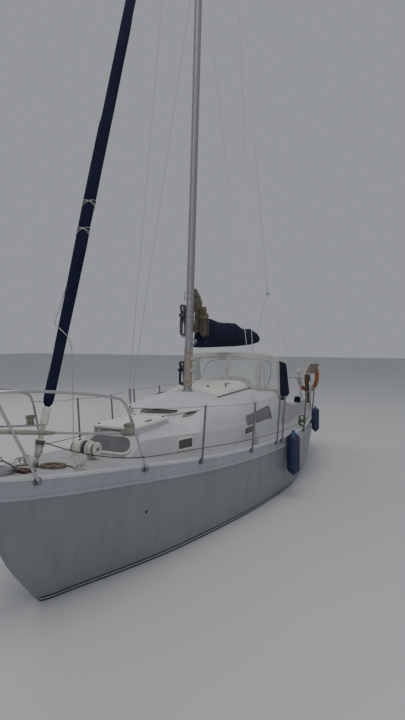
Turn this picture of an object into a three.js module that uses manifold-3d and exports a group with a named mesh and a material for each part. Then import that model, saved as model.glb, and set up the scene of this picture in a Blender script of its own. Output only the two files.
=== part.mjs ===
// A sailing yacht of about 8 m with a raised deckhouse, afloat, its mainsail stowed on the boom
// and its headsail rolled on the forestay. Millimetres, origin on the centreline at the waterline,
// +X to the bow, +Y to port, +Z up. Lengths along the hull are measured aft of the waterline stem.
import * as THREE from 'three';
import { mergeVertices } from 'three/addons/utils/BufferGeometryUtils.js';
import Module from 'manifold-3d';

const wasm = await Module();
wasm.setup();

// Driving dimensions
const STEM_X = 3400;
const SEAT_GAP = 0.3;
const WALL = 35;
const DECK_CROWN = 0.035;
const TUBE_R = 12.5;
const WIRE_R = 4;

const MAST_AFT = 2980;
const MAST_FOOT_Z = 1570;
const MAST_HEAD_Z = 13200;
const MAST_RAKE = THREE.MathUtils.degToRad(3.7);
const MAST_LONG = 146;
const MAST_WIDE = 104;
const SPREADER_Z = 8200;
const SPREADER_HALF = 590;

const GOOSENECK_AFT = 3165;
const GOOSENECK_Z = 2265;
const BOOM_END_AFT = 6330;
const BOOM_END_Z = 2335;

const FORESTAY_AFT = -60;
const FORESTAY_Z = 1225;
const FORESTAY_TOP_AFT = 3590;
const FORESTAY_TOP_Z = 13080;

const CHAINPLATE_AFT = 2960;
const CHAINPLATE_IN = 64;
const CHAINPLATE_Z = 905;

const RUDDER_AFT = 7470;
const COCKPIT_AFT = [4980, 6880];
const HATCH_AFT = [1080, 1950];
const HATCH_HALF = 270;
const HATCH_TOP_Z = 1375;
const SLIDER_AFT = [4240, 4850];
const SLIDER_HALF = 305;
const SLIDER_Z = 1590;

const x = (aft) => STEM_X - aft;
const lerp = THREE.MathUtils.lerp;

// Hull sections: aft, half beam at the deck edge, height of the deck edge, height of the
// centreline bottom, and fullness (0 is a sharp V, 1 a full round bilge)
const SECTIONS = [
  [-670, 42, 1240, 1095, 0.1],
  [-560, 142, 1229, 850, 0.1],
  [-430, 222, 1214, 530, 0.15],
  [-200, 330, 1187, 220, 0.22],
  [0, 405, 1165, 0, 0.32],
  [300, 497, 1132, -105, 0.48],
  [745, 617, 1083, -225, 0.68],
  [1300, 738, 1015, -320, 0.87],
  [2000, 885, 942, -395, 0.97],
  [2700, 1040, 902, -440, 1],
  [3410, 1172, 881, -460, 1],
  [4220, 1280, 871, -455, 1],
  [5230, 1262, 871, -380, 0.98],
  [6100, 1150, 880, -240, 0.95],
  [6800, 1030, 887, -70, 0.93],
  [7400, 925, 892, 70, 0.9],
].map(([aft, half, deckZ, keelZ, full]) => ({ aft, half, deckZ, keelZ, full }));

function hullAt(aft) {
  const last = SECTIONS.length - 1;
  let i = SECTIONS.findIndex((s) => s.aft > aft);
  if (i < 0) i = last;
  i = Math.min(Math.max(i, 1), last);
  const near = [i - 2, i - 1, i, i + 1].map((k) => SECTIONS[Math.min(Math.max(k, 0), last)]);
  const span = near[2].aft - near[1].aft;
  const u = THREE.MathUtils.clamp((aft - near[1].aft) / span, 0, 1);
  const smooth = (key) => {
    const slope = (a, b) => (b.aft === a.aft ? 0 : (b[key] - a[key]) / (b.aft - a.aft));
    const m0 = slope(near[0], near[2]) * span;
    const m1 = slope(near[1], near[3]) * span;
    const [p0, p1] = [near[1][key], near[2][key]];
    return p0 + u * m0 + u * u * (3 * (p1 - p0) - 2 * m0 - m1) + u ** 3 * (2 * (p0 - p1) + m0 + m1);
  };
  return { half: smooth('half'), deckZ: smooth('deckZ'), keelZ: smooth('keelZ'), full: smooth('full') };
}

const SIDE_STEPS = 9;
const DECK_STEPS = 3;
const TRANSOM_RAKE = 0.12;

// Half a section from the centreline bottom up to the deck edge and in to the deck's middle
function halfSection(aft) {
  const s = hullAt(aft);
  const depth = s.deckZ - s.keelZ;
  const side = new THREE.CubicBezierCurve(
    new THREE.Vector2(0, s.keelZ),
    new THREE.Vector2(s.half * (0.12 + 0.63 * s.full), s.keelZ + depth * 0.1 * (1 - s.full)),
    new THREE.Vector2(s.half * (0.45 + 0.57 * s.full), s.keelZ + depth * (0.55 - 0.35 * s.full)),
    new THREE.Vector2(s.half, s.deckZ),
  ).getPoints(SIDE_STEPS);
  for (let i = 1; i <= DECK_STEPS; i += 1) {
    const y = s.half * (1 - i / DECK_STEPS);
    side.push(new THREE.Vector2(y, deckZ(aft, y)));
  }
  return side;
}

function deckZ(aft, y) {
  const s = hullAt(aft);
  return s.deckZ + DECK_CROWN * s.half * (1 - (y / s.half) ** 2);
}

// Geometry helpers
function geometryOf(points, faces) {
  const geometry = new THREE.BufferGeometry();
  geometry.setAttribute('position', new THREE.BufferAttribute(new Float32Array(points), 3));
  geometry.setIndex(faces);
  return geometry;
}

function solid(geometry) {
  const plain = geometry.index ? geometry : geometry.clone();
  plain.deleteAttribute('normal');
  plain.deleteAttribute('uv');
  const merged = mergeVertices(plain, 0.001);
  const all = Array.from(merged.index.array);
  const whole = all.filter((_, i) => {
    const [a, b, c] = all.slice(i - (i % 3), i - (i % 3) + 3);
    return a !== b && b !== c && c !== a;
  });
  return new wasm.Manifold(new wasm.Mesh({
    numProp: 3,
    vertProperties: new Float32Array(merged.attributes.position.array),
    triVerts: new Uint32Array(whole),
  }));
}

function toGeometry(body) {
  const mesh = body.getMesh();
  const geometry = geometryOf(mesh.vertProperties, Array.from(mesh.triVerts)).toNonIndexed();
  geometry.computeVertexNormals();
  return geometry;
}

function join(bodies) {
  return bodies.slice(1).reduce((sum, body) => sum.add(body), bodies[0]);
}

// A loft through closed rings of equal point counts, capped at both ends
function loft(rings) {
  const n = rings[0].length;
  const points = rings.flatMap((ring) => ring.flatMap((p) => [p.x, p.y, p.z]));
  const faces = [];
  for (let r = 0; r < rings.length - 1; r += 1) {
    for (let i = 0; i < n; i += 1) {
      const [a, b] = [r * n + i, r * n + ((i + 1) % n)];
      faces.push(a, b, b + n, a, b + n, a + n);
    }
  }
  const end = (rings.length - 1) * n;
  const flat = (ring) => {
    const normal = new THREE.Vector3();
    ring.forEach((p, i) => normal.add(new THREE.Vector3().crossVectors(p, ring[(i + 1) % n])));
    const u = new THREE.Vector3().subVectors(ring[1], ring[0]).normalize();
    const v = new THREE.Vector3().crossVectors(normal.normalize(), u);
    return THREE.ShapeUtils.triangulateShape(ring.map((p) => new THREE.Vector2(p.dot(u), p.dot(v))), []);
  };
  flat(rings[0]).forEach(([a, b, c]) => faces.push(a, c, b));
  flat(rings[rings.length - 1]).forEach(([a, b, c]) => faces.push(end + a, end + b, end + c));
  const body = solid(geometryOf(points, faces));
  if (body.volume() > 0) return body;
  for (let i = 0; i < faces.length; i += 3) [faces[i], faces[i + 1]] = [faces[i + 1], faces[i]];
  return solid(geometryOf(points, faces));
}

// A prism of a plan outline given as [aft, y] pairs, between two heights
function prism(outline, z0, z1) {
  return loft([z0, z1].map((z) => outline.map(([aft, y]) => new THREE.Vector3(x(aft), y, z))));
}

function block(aft0, aft1, y0, y1, z0, z1) {
  return prism([[aft0, y0], [aft1, y0], [aft1, y1], [aft0, y1]], z0, z1);
}

function rod(from, to, radius, sides = 10, endRadius = radius) {
  const axis = new THREE.Vector3().subVectors(to, from);
  const geometry = new THREE.CylinderGeometry(endRadius, radius, axis.length(), sides);
  geometry.translate(0, axis.length() / 2, 0);
  const turn = new THREE.Quaternion().setFromUnitVectors(new THREE.Vector3(0, 1, 0), axis.normalize());
  geometry.applyQuaternion(turn);
  geometry.translate(from.x, from.y, from.z);
  return solid(geometry);
}

// A turned solid along an axis, from rows of distance and radius
function turned(from, dir, rows, sides = 12) {
  const profile = rows.map(([d, r]) => new THREE.Vector2(r, d));
  profile.unshift(new THREE.Vector2(0, rows[0][0]));
  profile.push(new THREE.Vector2(0, rows[rows.length - 1][0]));
  const geometry = new THREE.LatheGeometry(profile, sides);
  geometry.applyQuaternion(new THREE.Quaternion().setFromUnitVectors(new THREE.Vector3(0, 1, 0), dir));
  geometry.translate(from.x, from.y, from.z);
  return solid(geometry);
}

function ball(centre, radius, sides = 8) {
  const geometry = new THREE.SphereGeometry(radius, sides, sides / 2);
  geometry.translate(centre.x, centre.y, centre.z);
  return solid(geometry);
}

// A bent tube along a smooth curve through its points
function bentTube(points, radius, steps, sides = 8) {
  const shape = new THREE.Shape();
  shape.absarc(0, 0, radius, 0, Math.PI * 2, false);
  const path = new THREE.CatmullRomCurve3(points, false, 'centripetal');
  const geometry = new THREE.ExtrudeGeometry(shape, {
    steps, extrudePath: path, curveSegments: Math.ceil(sides / 2), bevelEnabled: false,
  });
  return solid(geometry);
}

const UP = new THREE.Vector3(0, 0, 1);
const at = (aft, y, z) => new THREE.Vector3(x(aft), y, z);
const mirror = (p) => new THREE.Vector3(p.x, -p.y, p.z);
const grow = (body, side = SEAT_GAP) => body.scale([1 + side / 4000, 1 + side / 1000, 1])
  .translate([0, 0, SEAT_GAP]);

// Materials
const paint = (color, roughness, metalness = 0) => new THREE.MeshStandardMaterial({
  color, roughness, metalness, flatShading: true,
});
const GELCOAT = paint(0xc9c8c4, 0.45);
const DECK = paint(0xbfbdb4, 0.6);
const STEEL = paint(0xb9bcc0, 0.28, 0.9);
const ALLOY = paint(0x9a9c9c, 0.5, 0.7);
const NAVY = paint(0x171b38, 0.9);
const GLAZING = paint(0x22262a, 0.15);
const ROPE = paint(0x9c8a6c, 0.9);
const TIMBER = paint(0x6f4f34, 0.65);
const RUBBER = paint(0x1b2138, 0.6);
const GREY = paint(0x8c8779, 0.6);
const ORANGE = paint(0xa0674a, 0.8);
const CANVAS_BROWN = paint(0x6d5138, 0.9);
const ANTIFOUL = paint(0x20263a, 0.85);
const WHITE = paint(0xdcdad2, 0.5);
const BRONZE = paint(0x8a6f3e, 0.4, 0.8);
const IRON = paint(0x3f4347, 0.7, 0.4);

const yacht = new THREE.Group();
function place(name, body, material) {
  const mesh = new THREE.Mesh(toGeometry(body), material);
  mesh.name = name;
  yacht.add(mesh);
  return body;
}

// Hull and deck
const RINGS_PER_SPAN = 2;
const ringAfts = SECTIONS.slice(0, -1).flatMap((s, i) => (
  Array.from({ length: RINGS_PER_SPAN }, (_, k) => lerp(s.aft, SECTIONS[i + 1].aft, k / RINGS_PER_SPAN))));
ringAfts.push(SECTIONS[SECTIONS.length - 1].aft);
function hullSolid() {
  const endAft = ringAfts[ringAfts.length - 1];
  const rings = ringAfts.map((aft) => {
    const half = halfSection(aft);
    const lean = aft === endAft ? TRANSOM_RAKE : 0;
    const topZ = hullAt(aft).deckZ;
    const point = (p, sign) => new THREE.Vector3(x(aft) + lean * (topZ - p.y), sign * p.x, p.y);
    const port = half.map((p) => point(p, 1));
    const starboard = half.slice(1, -1).reverse().map((p) => point(p, -1));
    return [...port, ...starboard];
  });
  return loft(rings);
}

const SALOON_AFT = [2080, 4640];
const SOLE_Z = -200;
const BERTH_Z = 230;
const HEADROOM_Z = 2000;

function cabinSpace() {
  return join([
    block(SALOON_AFT[0], SALOON_AFT[1], -380, 380, SOLE_Z, HEADROOM_Z),
    prism([[SALOON_AFT[0], -540], [2900, -740], [SALOON_AFT[1], -790],
      [SALOON_AFT[1], 790], [2900, 740], [SALOON_AFT[0], 540]], BERTH_Z, HEADROOM_Z),
    prism([[1180, -290], [SALOON_AFT[0] + 5, -500], [SALOON_AFT[0] + 5, 500], [1180, 290]],
      350, HEADROOM_Z),
  ]);
}

const SEAT_Z = 690;
const FOOTWELL_Z = 330;
function cockpitSpace() {
  return join([
    block(COCKPIT_AFT[0], COCKPIT_AFT[1] - 150, -330, 330, FOOTWELL_Z, HEADROOM_Z),
    prism([[COCKPIT_AFT[0], -830], [COCKPIT_AFT[1], -740], [COCKPIT_AFT[1], 740],
      [COCKPIT_AFT[0], 830]], SEAT_Z, HEADROOM_Z),
  ]);
}

// Cockpit coamings: a sloping ridge each side, aft of the deckhouse
function coaming(sign) {
  const ring = (aft, half, top) => [
    at(aft, sign * (half - 60), 780), at(aft, sign * (half + 80), 780),
    at(aft, sign * (half + 40), top), at(aft, sign * (half - 30), top),
  ];
  return loft([ring(4772, 905, 1290), ring(5350, 897, 1140), ring(6950, 800, 1060)]);
}

// A round island on each coaming that carries its winch
const WINCH = { aft: 6000, y: 880, z: 1112, islandR: 66 };
const winchIsland = (sign) => rod(at(WINCH.aft, sign * WINCH.y, 800), at(WINCH.aft, sign * WINCH.y, WINCH.z),
  WINCH.islandR, 16);

// Rudder gudgeons on the transom
function gudgeon(z) {
  const face = hullAt(7400);
  const faceAft = 7400 - TRANSOM_RAKE * (face.deckZ - z);
  return join([
    block(faceAft - 40, RUDDER_AFT, -22, 22, z - 20, z + 20),
    rod(at(RUDDER_AFT, 0, z - 20), at(RUDDER_AFT, 0, z + 20), 24, 12),
  ]);
}

const GUDGEON_Z = [260, 760];
const decked = hullSolid();
const seat = grow(decked);
const hull = join([decked, coaming(1), coaming(-1), ...GUDGEON_Z.map(gudgeon)])
  .subtract(cabinSpace()).subtract(cockpitSpace()).add(winchIsland(1)).add(winchIsland(-1));
place('hull', hull, GELCOAT);
const hullSeat = grow(join([decked, coaming(1), coaming(-1)]));

// Fin keel, and the shaft with its bracket
const KEEL_BOTTOM_Z = -1340;
function foil(aft0, aft1, thick, z) {
  const chord = aft1 - aft0;
  const side = [[0, 0], [0.06, 0.62], [0.28, 1], [0.65, 0.7], [1, 0.06]];
  const port = side.map(([u, w]) => at(aft0 + u * chord, (w * thick) / 2, z));
  return [...port, ...side.slice(1).reverse().map(([u, w]) => at(aft0 + u * chord, (-w * thick) / 2, z))];
}
place('keel_fin', loft([
  foil(2760, 4620, 190, -300), foil(2860, 4600, 180, -700), foil(3060, 4520, 200, KEEL_BOTTOM_Z),
]).subtract(decked.translate([0, 0, -SEAT_GAP])), ANTIFOUL);

const SHAFT = { fromAft: 4700, fromZ: -330, toAft: 6050, toZ: -560, r: 15 };
const shaftDir = at(SHAFT.toAft, 0, SHAFT.toZ).sub(at(SHAFT.fromAft, 0, SHAFT.fromZ)).normalize();
const shaftAt = (d) => at(SHAFT.toAft, 0, SHAFT.toZ).addScaledVector(shaftDir, d);
place('propeller_shaft', join([
  rod(at(SHAFT.fromAft, 0, SHAFT.fromZ), shaftAt(0), SHAFT.r, 10),
  rod(shaftAt(-200), shaftAt(-90), 30, 12),
  loft([foil(5835, 5905, 16, -560), foil(5835, 5905, 16, -150)]),
]).subtract(decked.translate([0, 0, -SEAT_GAP])), STEEL);

function propeller() {
  const hub = rod(shaftAt(SEAT_GAP), shaftAt(96), 34, 14, 22);
  const blades = [0, 1, 2].map((k) => {
    const blade = new THREE.SphereGeometry(1, 10, 6);
    blade.scale(9, 48, 92);
    blade.rotateZ(THREE.MathUtils.degToRad(28));
    blade.translate(0, 0, 102);
    blade.rotateX((k * Math.PI * 2) / 3);
    const turn = new THREE.Quaternion().setFromUnitVectors(new THREE.Vector3(-1, 0, 0), shaftDir);
    blade.applyQuaternion(turn);
    const centre = shaftAt(52);
    blade.translate(centre.x, centre.y, centre.z);
    return solid(blade);
  });
  return join([hub, ...blades]);
}
place('propeller', propeller(), BRONZE);
place('engine_block', block(4060, 4560, -190, 190, SOLE_Z + SEAT_GAP, 260), IRON);

// Rudder hung on the transom, and its tiller
const RUDDER_TOP_Z = 1010;
const RUDDER_BOTTOM_Z = -960;
const PINTLE_GAP = 20 + SEAT_GAP;
function rudder() {
  const blade = loft([
    foil(7498, 7900, 46, RUDDER_BOTTOM_Z), foil(7498, 7950, 50, -400),
    foil(7498, 7860, 50, 200), foil(7498, 7700, 48, RUDDER_TOP_Z),
  ]);
  const straps = GUDGEON_Z.map((z) => join([
    rod(at(RUDDER_AFT, 0, z + PINTLE_GAP), at(RUDDER_AFT, 0, z + PINTLE_GAP + 34), 24, 12),
    block(RUDDER_AFT, 7580, -18, 18, z + PINTLE_GAP, z + PINTLE_GAP + 34),
  ]));
  return join([blade, ...straps]);
}
place('rudder', rudder(), WHITE);

function tiller() {
  const section = (aft, half, z0, z1) => [
    at(aft, -half, z0), at(aft, half, z0), at(aft, half, z1), at(aft, -half, z1),
  ];
  return join([
    loft([section(7660, 26, RUDDER_TOP_Z + SEAT_GAP, 1062), section(7300, 26, 1014, 1066),
      section(6900, 22, 1030, 1076), section(6450, 17, 1072, 1108)]),
    rod(at(6460, 0, 1090), at(6380, 0, 1096), 20, 10),
  ]);
}
place('tiller', tiller(), TIMBER);

// Deckhouse and coachroof: rings of aft, half width at the foot, half width at the roof's edge,
// height of that edge, height of the middle of the roof and height of the knuckle in the side
const COACHROOF = [
  [985, 300, 290, 1075, 1085, 1050],
  [1110, 385, 350, 1250, 1312, 1235],
  [1550, 500, 455, 1232, 1305, 1217],
  [2000 - SEAT_GAP, 610, 560, 1200, 1322, 1185],
];
const DECKHOUSE = [
  [2000, 612, 562, 1212, 1335, 1185],
  [2260, 690, 635, 1395, 1505, 1163],
  [2900, 838, 775, 1408, MAST_FOOT_Z, 1133],
  [4050, 915, 850, 1425, 1578, 1062],
  [4760, 905, 842, 1415, 1562, 1050],
];
const FOOT_Z = 600;
const ROOF_STEPS = 3;
const KNUCKLE_IN = 12;
const SHOULDER = { out: 22, below: 160, share: 0.45, roofIn: 22 };

function houseRing([aft, foot, edge, edgeZ, crownZ, knuckleZ], inset, drop) {
  const port = [
    at(aft, foot - inset, FOOT_Z - drop), at(aft, foot - KNUCKLE_IN - inset, knuckleZ - drop / 2),
  ];
  const rise = crownZ - edgeZ;
  const shoulderZ = Math.max(edgeZ - SHOULDER.below, lerp(knuckleZ, edgeZ, SHOULDER.share));
  const out = Math.min(SHOULDER.out, (edgeZ - knuckleZ) / 2);
  port.push(at(aft, edge + out - inset, shoulderZ - drop / 2));
  for (let i = 0; i <= ROOF_STEPS; i += 1) {
    const u = i / ROOF_STEPS;
    port.push(at(aft, (edge - SHOULDER.roofIn - inset) * (1 - u), edgeZ + rise * (1 - (1 - u) ** 2) - drop));
  }
  return [...port, ...port.slice(0, -1).reverse().map(mirror)];
}

function house(rows) {
  return loft(rows.map((row) => houseRing(row, 0, 0)));
}

function houseSpace(rows, openFore, openAft) {
  const inner = rows.map((row, i) => {
    const copy = [...row];
    if (i === 0) copy[0] += openFore ? -10 : WALL + 40;
    if (i === rows.length - 1) copy[0] += openAft ? 10 : -WALL;
    return houseRing(copy, WALL, WALL);
  });
  return loft(inner);
}

const foreHatchHole = block(HATCH_AFT[0] + 110, HATCH_AFT[1] - 60, -HATCH_HALF + 45, HATCH_HALF - 45,
  900, HATCH_TOP_Z + 50);
const LID_Z = 1338;
const FORE_HINGE = { aft: HATCH_AFT[0] + 8, z: LID_Z + 10, r: 9, half: 20, y: [-180, 180] };
function foreHatchCoaming() {
  const ears = FORE_HINGE.y.flatMap((y) => [-33, 33].map((d) => join([
    rod(at(FORE_HINGE.aft, y + d - 11, FORE_HINGE.z), at(FORE_HINGE.aft, y + d + 11, FORE_HINGE.z),
      FORE_HINGE.r, 10),
    block(FORE_HINGE.aft - 8, FORE_HINGE.aft + 8, y + d - 11, y + d + 11, 1200, FORE_HINGE.z),
  ])));
  return join([
    block(HATCH_AFT[0] + 75, HATCH_AFT[1] - 25, -HATCH_HALF + 15, HATCH_HALF - 15, 1200, LID_Z), ...ears,
  ]);
}
const coachroof = join([house(COACHROOF), foreHatchCoaming()])
  .subtract(houseSpace(COACHROOF, false, true)).subtract(foreHatchHole);
place('coachroof', coachroof.subtract(seat), GELCOAT);

// Window openings. Side window corners as aft and height; the front ones as y and height.
const SIDE_WINDOW = [[3150, 1112], [3155, 1232], [3550, 1240], [4103, 1273], [4180, 1075]];
const FRONT_WINDOW = [[345, 1342], [372, 1388], [500, 1426], [512, 1412], [462, 1358], [400, 1337]];
const CENTRE_WINDOW = [[-255, 1362], [-245, 1421], [270, 1421], [258, 1374]];

// An outline drawn in towards its middle, so that a pane stands clear of its opening
const PANE_SCALE = 0.99;
function drawnIn(corners, scale) {
  const mid = [0, 1].map((k) => corners.reduce((sum, c) => sum + c[k] / corners.length, 0));
  return corners.map((c) => c.map((value, k) => lerp(mid[k], value, scale)));
}

function throughSide(corners, sign, scale = 1) {
  return loft([500, 1100].map((y) => drawnIn(corners, scale).map(([aft, z]) => at(aft, sign * y, z))));
}

function throughFront(corners, sign, scale = 1) {
  return loft([1900, 2300].map((aft) => drawnIn(corners, scale).map(([y, z]) => at(aft, sign * y, z))));
}

const sides = [1, -1];
const companionway = block(4600, 4900, -275, 275, 1000, 1800);
const slideHole = block(SLIDER_AFT[0] + 110, 4900, -275, 275, 1450, 1800);
const deckhouseSolid = house(DECKHOUSE);
const deckhouseSpace = houseSpace(DECKHOUSE, true, false);
let deckhouse = deckhouseSolid.subtract(deckhouseSpace);
for (const sign of sides) {
  deckhouse = deckhouse.subtract(throughSide(SIDE_WINDOW, sign)).subtract(throughFront(FRONT_WINDOW, sign));
}
deckhouse = deckhouse.subtract(throughFront(CENTRE_WINDOW, 1)).subtract(companionway)
  .subtract(slideHole).subtract(hullSeat);
place('deckhouse', deckhouse, GELCOAT);

// Panes: a slice of the wall 8 mm thick, set 6 mm in from its outer face
const PANE_IN = 6;
const PANE_THICK = 8;
function paneSkin(inset) {
  return loft(DECKHOUSE.map((row, i) => {
    const copy = [...row];
    if (i === 0) copy[0] += inset * 1.6;
    return houseRing(copy, inset, inset);
  }));
}
const paneLayer = paneSkin(PANE_IN).subtract(paneSkin(PANE_IN + PANE_THICK));
sides.forEach((sign, i) => {
  const side = ['port', 'starboard'][i];
  const cuts = [
    ['window_side', throughSide(SIDE_WINDOW, sign, PANE_SCALE)],
    ['window_front', throughFront(FRONT_WINDOW, sign, PANE_SCALE)],
  ];
  for (const [name, cut] of cuts) place(`${name}_${side}`, paneLayer.intersect(cut), GLAZING);
});
place('window_front_centre', paneLayer.intersect(throughFront(CENTRE_WINDOW, 1, PANE_SCALE)), GLAZING);

// Fore hatch lid with its two hinge lugs at the forward edge
const lidZ = LID_Z + SEAT_GAP;
place('fore_hatch_lid', join([
  block(HATCH_AFT[0] + 20, HATCH_AFT[1], -HATCH_HALF, HATCH_HALF, lidZ, HATCH_TOP_Z),
  ...FORE_HINGE.y.map((y) => join([
    rod(at(FORE_HINGE.aft, y - FORE_HINGE.half, FORE_HINGE.z),
      at(FORE_HINGE.aft, y + FORE_HINGE.half, FORE_HINGE.z), FORE_HINGE.r, 10),
    block(FORE_HINGE.aft, HATCH_AFT[0] + 40, y - FORE_HINGE.half, y + FORE_HINGE.half, lidZ + 4, lidZ + 18),
  ])),
]), WHITE);

// Sliding companionway hatch, its sea hood and the washboards
const roofTop = grow(deckhouseSolid, 0);
place('sliding_hatch', join([
  block(SLIDER_AFT[0], SLIDER_AFT[1], -SLIDER_HALF, SLIDER_HALF, SLIDER_Z, SLIDER_Z + 22),
  block(SLIDER_AFT[1] - 40, SLIDER_AFT[1], -250, 250, SLIDER_Z + 16, SLIDER_Z + 56),
]), WHITE);

// Low hood: rows of aft, half width, height at its side, at the shoulder and in the middle
const HOOD = { aft0: 3095, aft1: 4300, shoulderIn: 105 };
const HOOD_ROWS = [
  [HOOD.aft0, 468, 1515, 1545, 1583], [3420, 474, 1535, 1600, 1630], [HOOD.aft1, 482, 1540, 1632, 1638],
];
const hoodOuter = loft(HOOD_ROWS.map(([aft, half, sideZ, shoulderZ, top]) => {
  const port = [[half, 1400], [half, sideZ], [half - HOOD.shoulderIn, shoulderZ], [0, top]];
  const left = port.map(([y, z]) => at(aft, y, z));
  return [...left, ...left.slice(0, -1).reverse().map(mirror)];
}));
const sideBlock = (aft0, aft1, s, y0, y1, z0, z1) => (
  block(aft0, aft1, Math.min(s * y0, s * y1), Math.max(s * y0, s * y1), z0, z1));
const TRACK_AFT = 3700;
const runners = join(sides.flatMap((s) => [
  sideBlock(TRACK_AFT, 4756, s, 285, 350, 1400, SLIDER_Z - SEAT_GAP),
  sideBlock(TRACK_AFT, 4756, s, SLIDER_HALF + 7, 350, 1400, SLIDER_Z + 32),
]));
const hoodSpace = block(TRACK_AFT, 4900, -SLIDER_HALF - 7, SLIDER_HALF + 7, 1300, SLIDER_Z + 32);
place('sea_hood', hoodOuter.subtract(hoodSpace).add(runners).subtract(roofTop), WHITE);

place('washboards', block(4728, 4750, -275 + SEAT_GAP, 275 - SEAT_GAP, 1000 + SEAT_GAP, 1560), TIMBER);

// Rails along the deck edge and the rubbing strake at the foot of the light sheer band
const STRIP_END_AFT = 7385;
const BAND_DEEP = [[-680, 172], [1700, 150], [3400, 130], [7400, 112]];
function bandDeep(aft) {
  const i = Math.max(1, BAND_DEEP.findIndex(([a]) => a >= aft));
  const [[a0, d0], [a1, d1]] = [BAND_DEEP[i - 1], BAND_DEEP[i]];
  return lerp(d0, d1, (aft - a0) / (a1 - a0));
}
function sideY(aft, z) {
  const half = halfSection(aft).slice(0, SIDE_STEPS + 1);
  const i = Math.max(1, half.findIndex((p) => p.y >= z));
  const [a, b] = [half[i - 1], half[i]];
  return lerp(a.x, b.x, (z - a.y) / (b.y - a.y));
}
function stripRings(sign, ringOf) {
  return ringAfts.slice(1, -1).concat(STRIP_END_AFT).map((aft) => ringOf(aft, sign));
}
const TOE = { high: 16, in: 32, lap: 22 };
function toeRing(aft, sign) {
  const { half, deckZ: z } = hullAt(aft);
  const y = (d) => sign * Math.max(half - d, 8);
  return [at(aft, y(TOE.in), z - TOE.lap), at(aft, sign * (half + 9), z - TOE.lap),
    at(aft, sign * (half + 5), z + TOE.high), at(aft, y(TOE.in - 8), z + TOE.high)];
}
const STRAKE_OUT = 17;
const strakeZ = (aft) => hullAt(aft).deckZ - bandDeep(aft);
function strakeRing(aft, sign) {
  const z = strakeZ(aft);
  const y = sideY(aft, z);
  return [at(aft, sign * Math.max(y - 20, 4), z + 16), at(aft, sign * (y + 12), z + 15),
    at(aft, sign * (y + STRAKE_OUT), z), at(aft, sign * (y + 12), z - 15),
    at(aft, sign * Math.max(y - 20, 4), z - 16)];
}
const edgeTrim = grow(join(sides.flatMap((sign, i) => {
  const side = ['port', 'starboard'][i];
  return [
    place(`toe_rail_${side}`, loft(stripRings(sign, toeRing)).subtract(seat), GELCOAT),
    place(`rubbing_strake_${side}`, loft(stripRings(sign, strakeRing)).subtract(seat), GELCOAT),
  ];
})));

// Pulpit and pushpit
const footZ = (aft, y) => deckZ(aft, y) + SEAT_GAP;
const edgeIn = (aft, inward) => hullAt(aft).half - inward;
const BASE = { r: 24, high: 10 };
function pad(aft, y) {
  return rod(at(aft, y, footZ(aft, y) - 20), at(aft, y, footZ(aft, y) + BASE.high), BASE.r, 10);
}
// Feet that stand outside the deck edge: a plate on the sheer band that carries the tube
const OUTER = { out: 25, plateOut: 38, plateIn: 60, plateTop: 26, plateLow: 78, half: 24, tubeLow: 56 };
const outerY = (aft) => hullAt(aft).half + OUTER.out;
const outerFoot = (aft) => at(aft, outerY(aft), hullAt(aft).deckZ - OUTER.tubeLow);
function outerPlate(aft) {
  const { half, deckZ: z } = hullAt(aft);
  return block(aft - OUTER.half, aft + OUTER.half, half - OUTER.plateIn, half + OUTER.plateOut,
    z - OUTER.plateLow, z - OUTER.plateTop);
}
const PULPIT = {
  aftFoot: 745, bend: [470, 558, 1728], turn: [360, 545, 1776], side: [-380, 362, 1898],
  bow: [-720, 235, 1920], nose: [-890, 0, 1925], foreFoot: -340, foreTop: [-750, 225, 1921],
  midAft: [640, 598, 1405], midFore: [-454, 255, 1583],
  midTurn: [-620, 170, 1610], midNose: [-700, 0, 1620],
};
function pulpit() {
  const up = [outerFoot(PULPIT.aftFoot), at(...PULPIT.bend), at(...PULPIT.turn), at(...PULPIT.side),
    at(...PULPIT.bow), at(...PULPIT.nose)];
  const mid = [at(...PULPIT.midAft), at(...PULPIT.midFore), at(...PULPIT.midTurn), at(...PULPIT.midNose)];
  const across = (run) => [...run, ...run.slice(0, -1).reverse().map(mirror)];
  const parts = [bentTube(across(up), TUBE_R, 34), bentTube(across(mid), TUBE_R - 2, 30)];
  for (const sign of sides) {
    const flip = (p) => (sign > 0 ? p : mirror(p));
    parts.push(rod(flip(outerFoot(PULPIT.foreFoot)), flip(at(...PULPIT.foreTop)), TUBE_R, 8));
    for (const aft of [PULPIT.aftFoot, PULPIT.foreFoot]) {
      parts.push(sign > 0 ? outerPlate(aft) : outerPlate(aft).mirror([0, 1, 0]));
    }
  }
  return join(parts).subtract(seat).subtract(edgeTrim);
}
place('pulpit', pulpit(), STEEL);
const SIDELIGHT = { aft: [455, 545], y: [566, 640], z: [1448, 1560] };
const sidelight = block(...SIDELIGHT.aft, ...SIDELIGHT.y, ...SIDELIGHT.z);
place('sidelight_port', sidelight, GREY);
place('sidelight_starboard', sidelight.mirror([0, 1, 0]), GREY);

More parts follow.
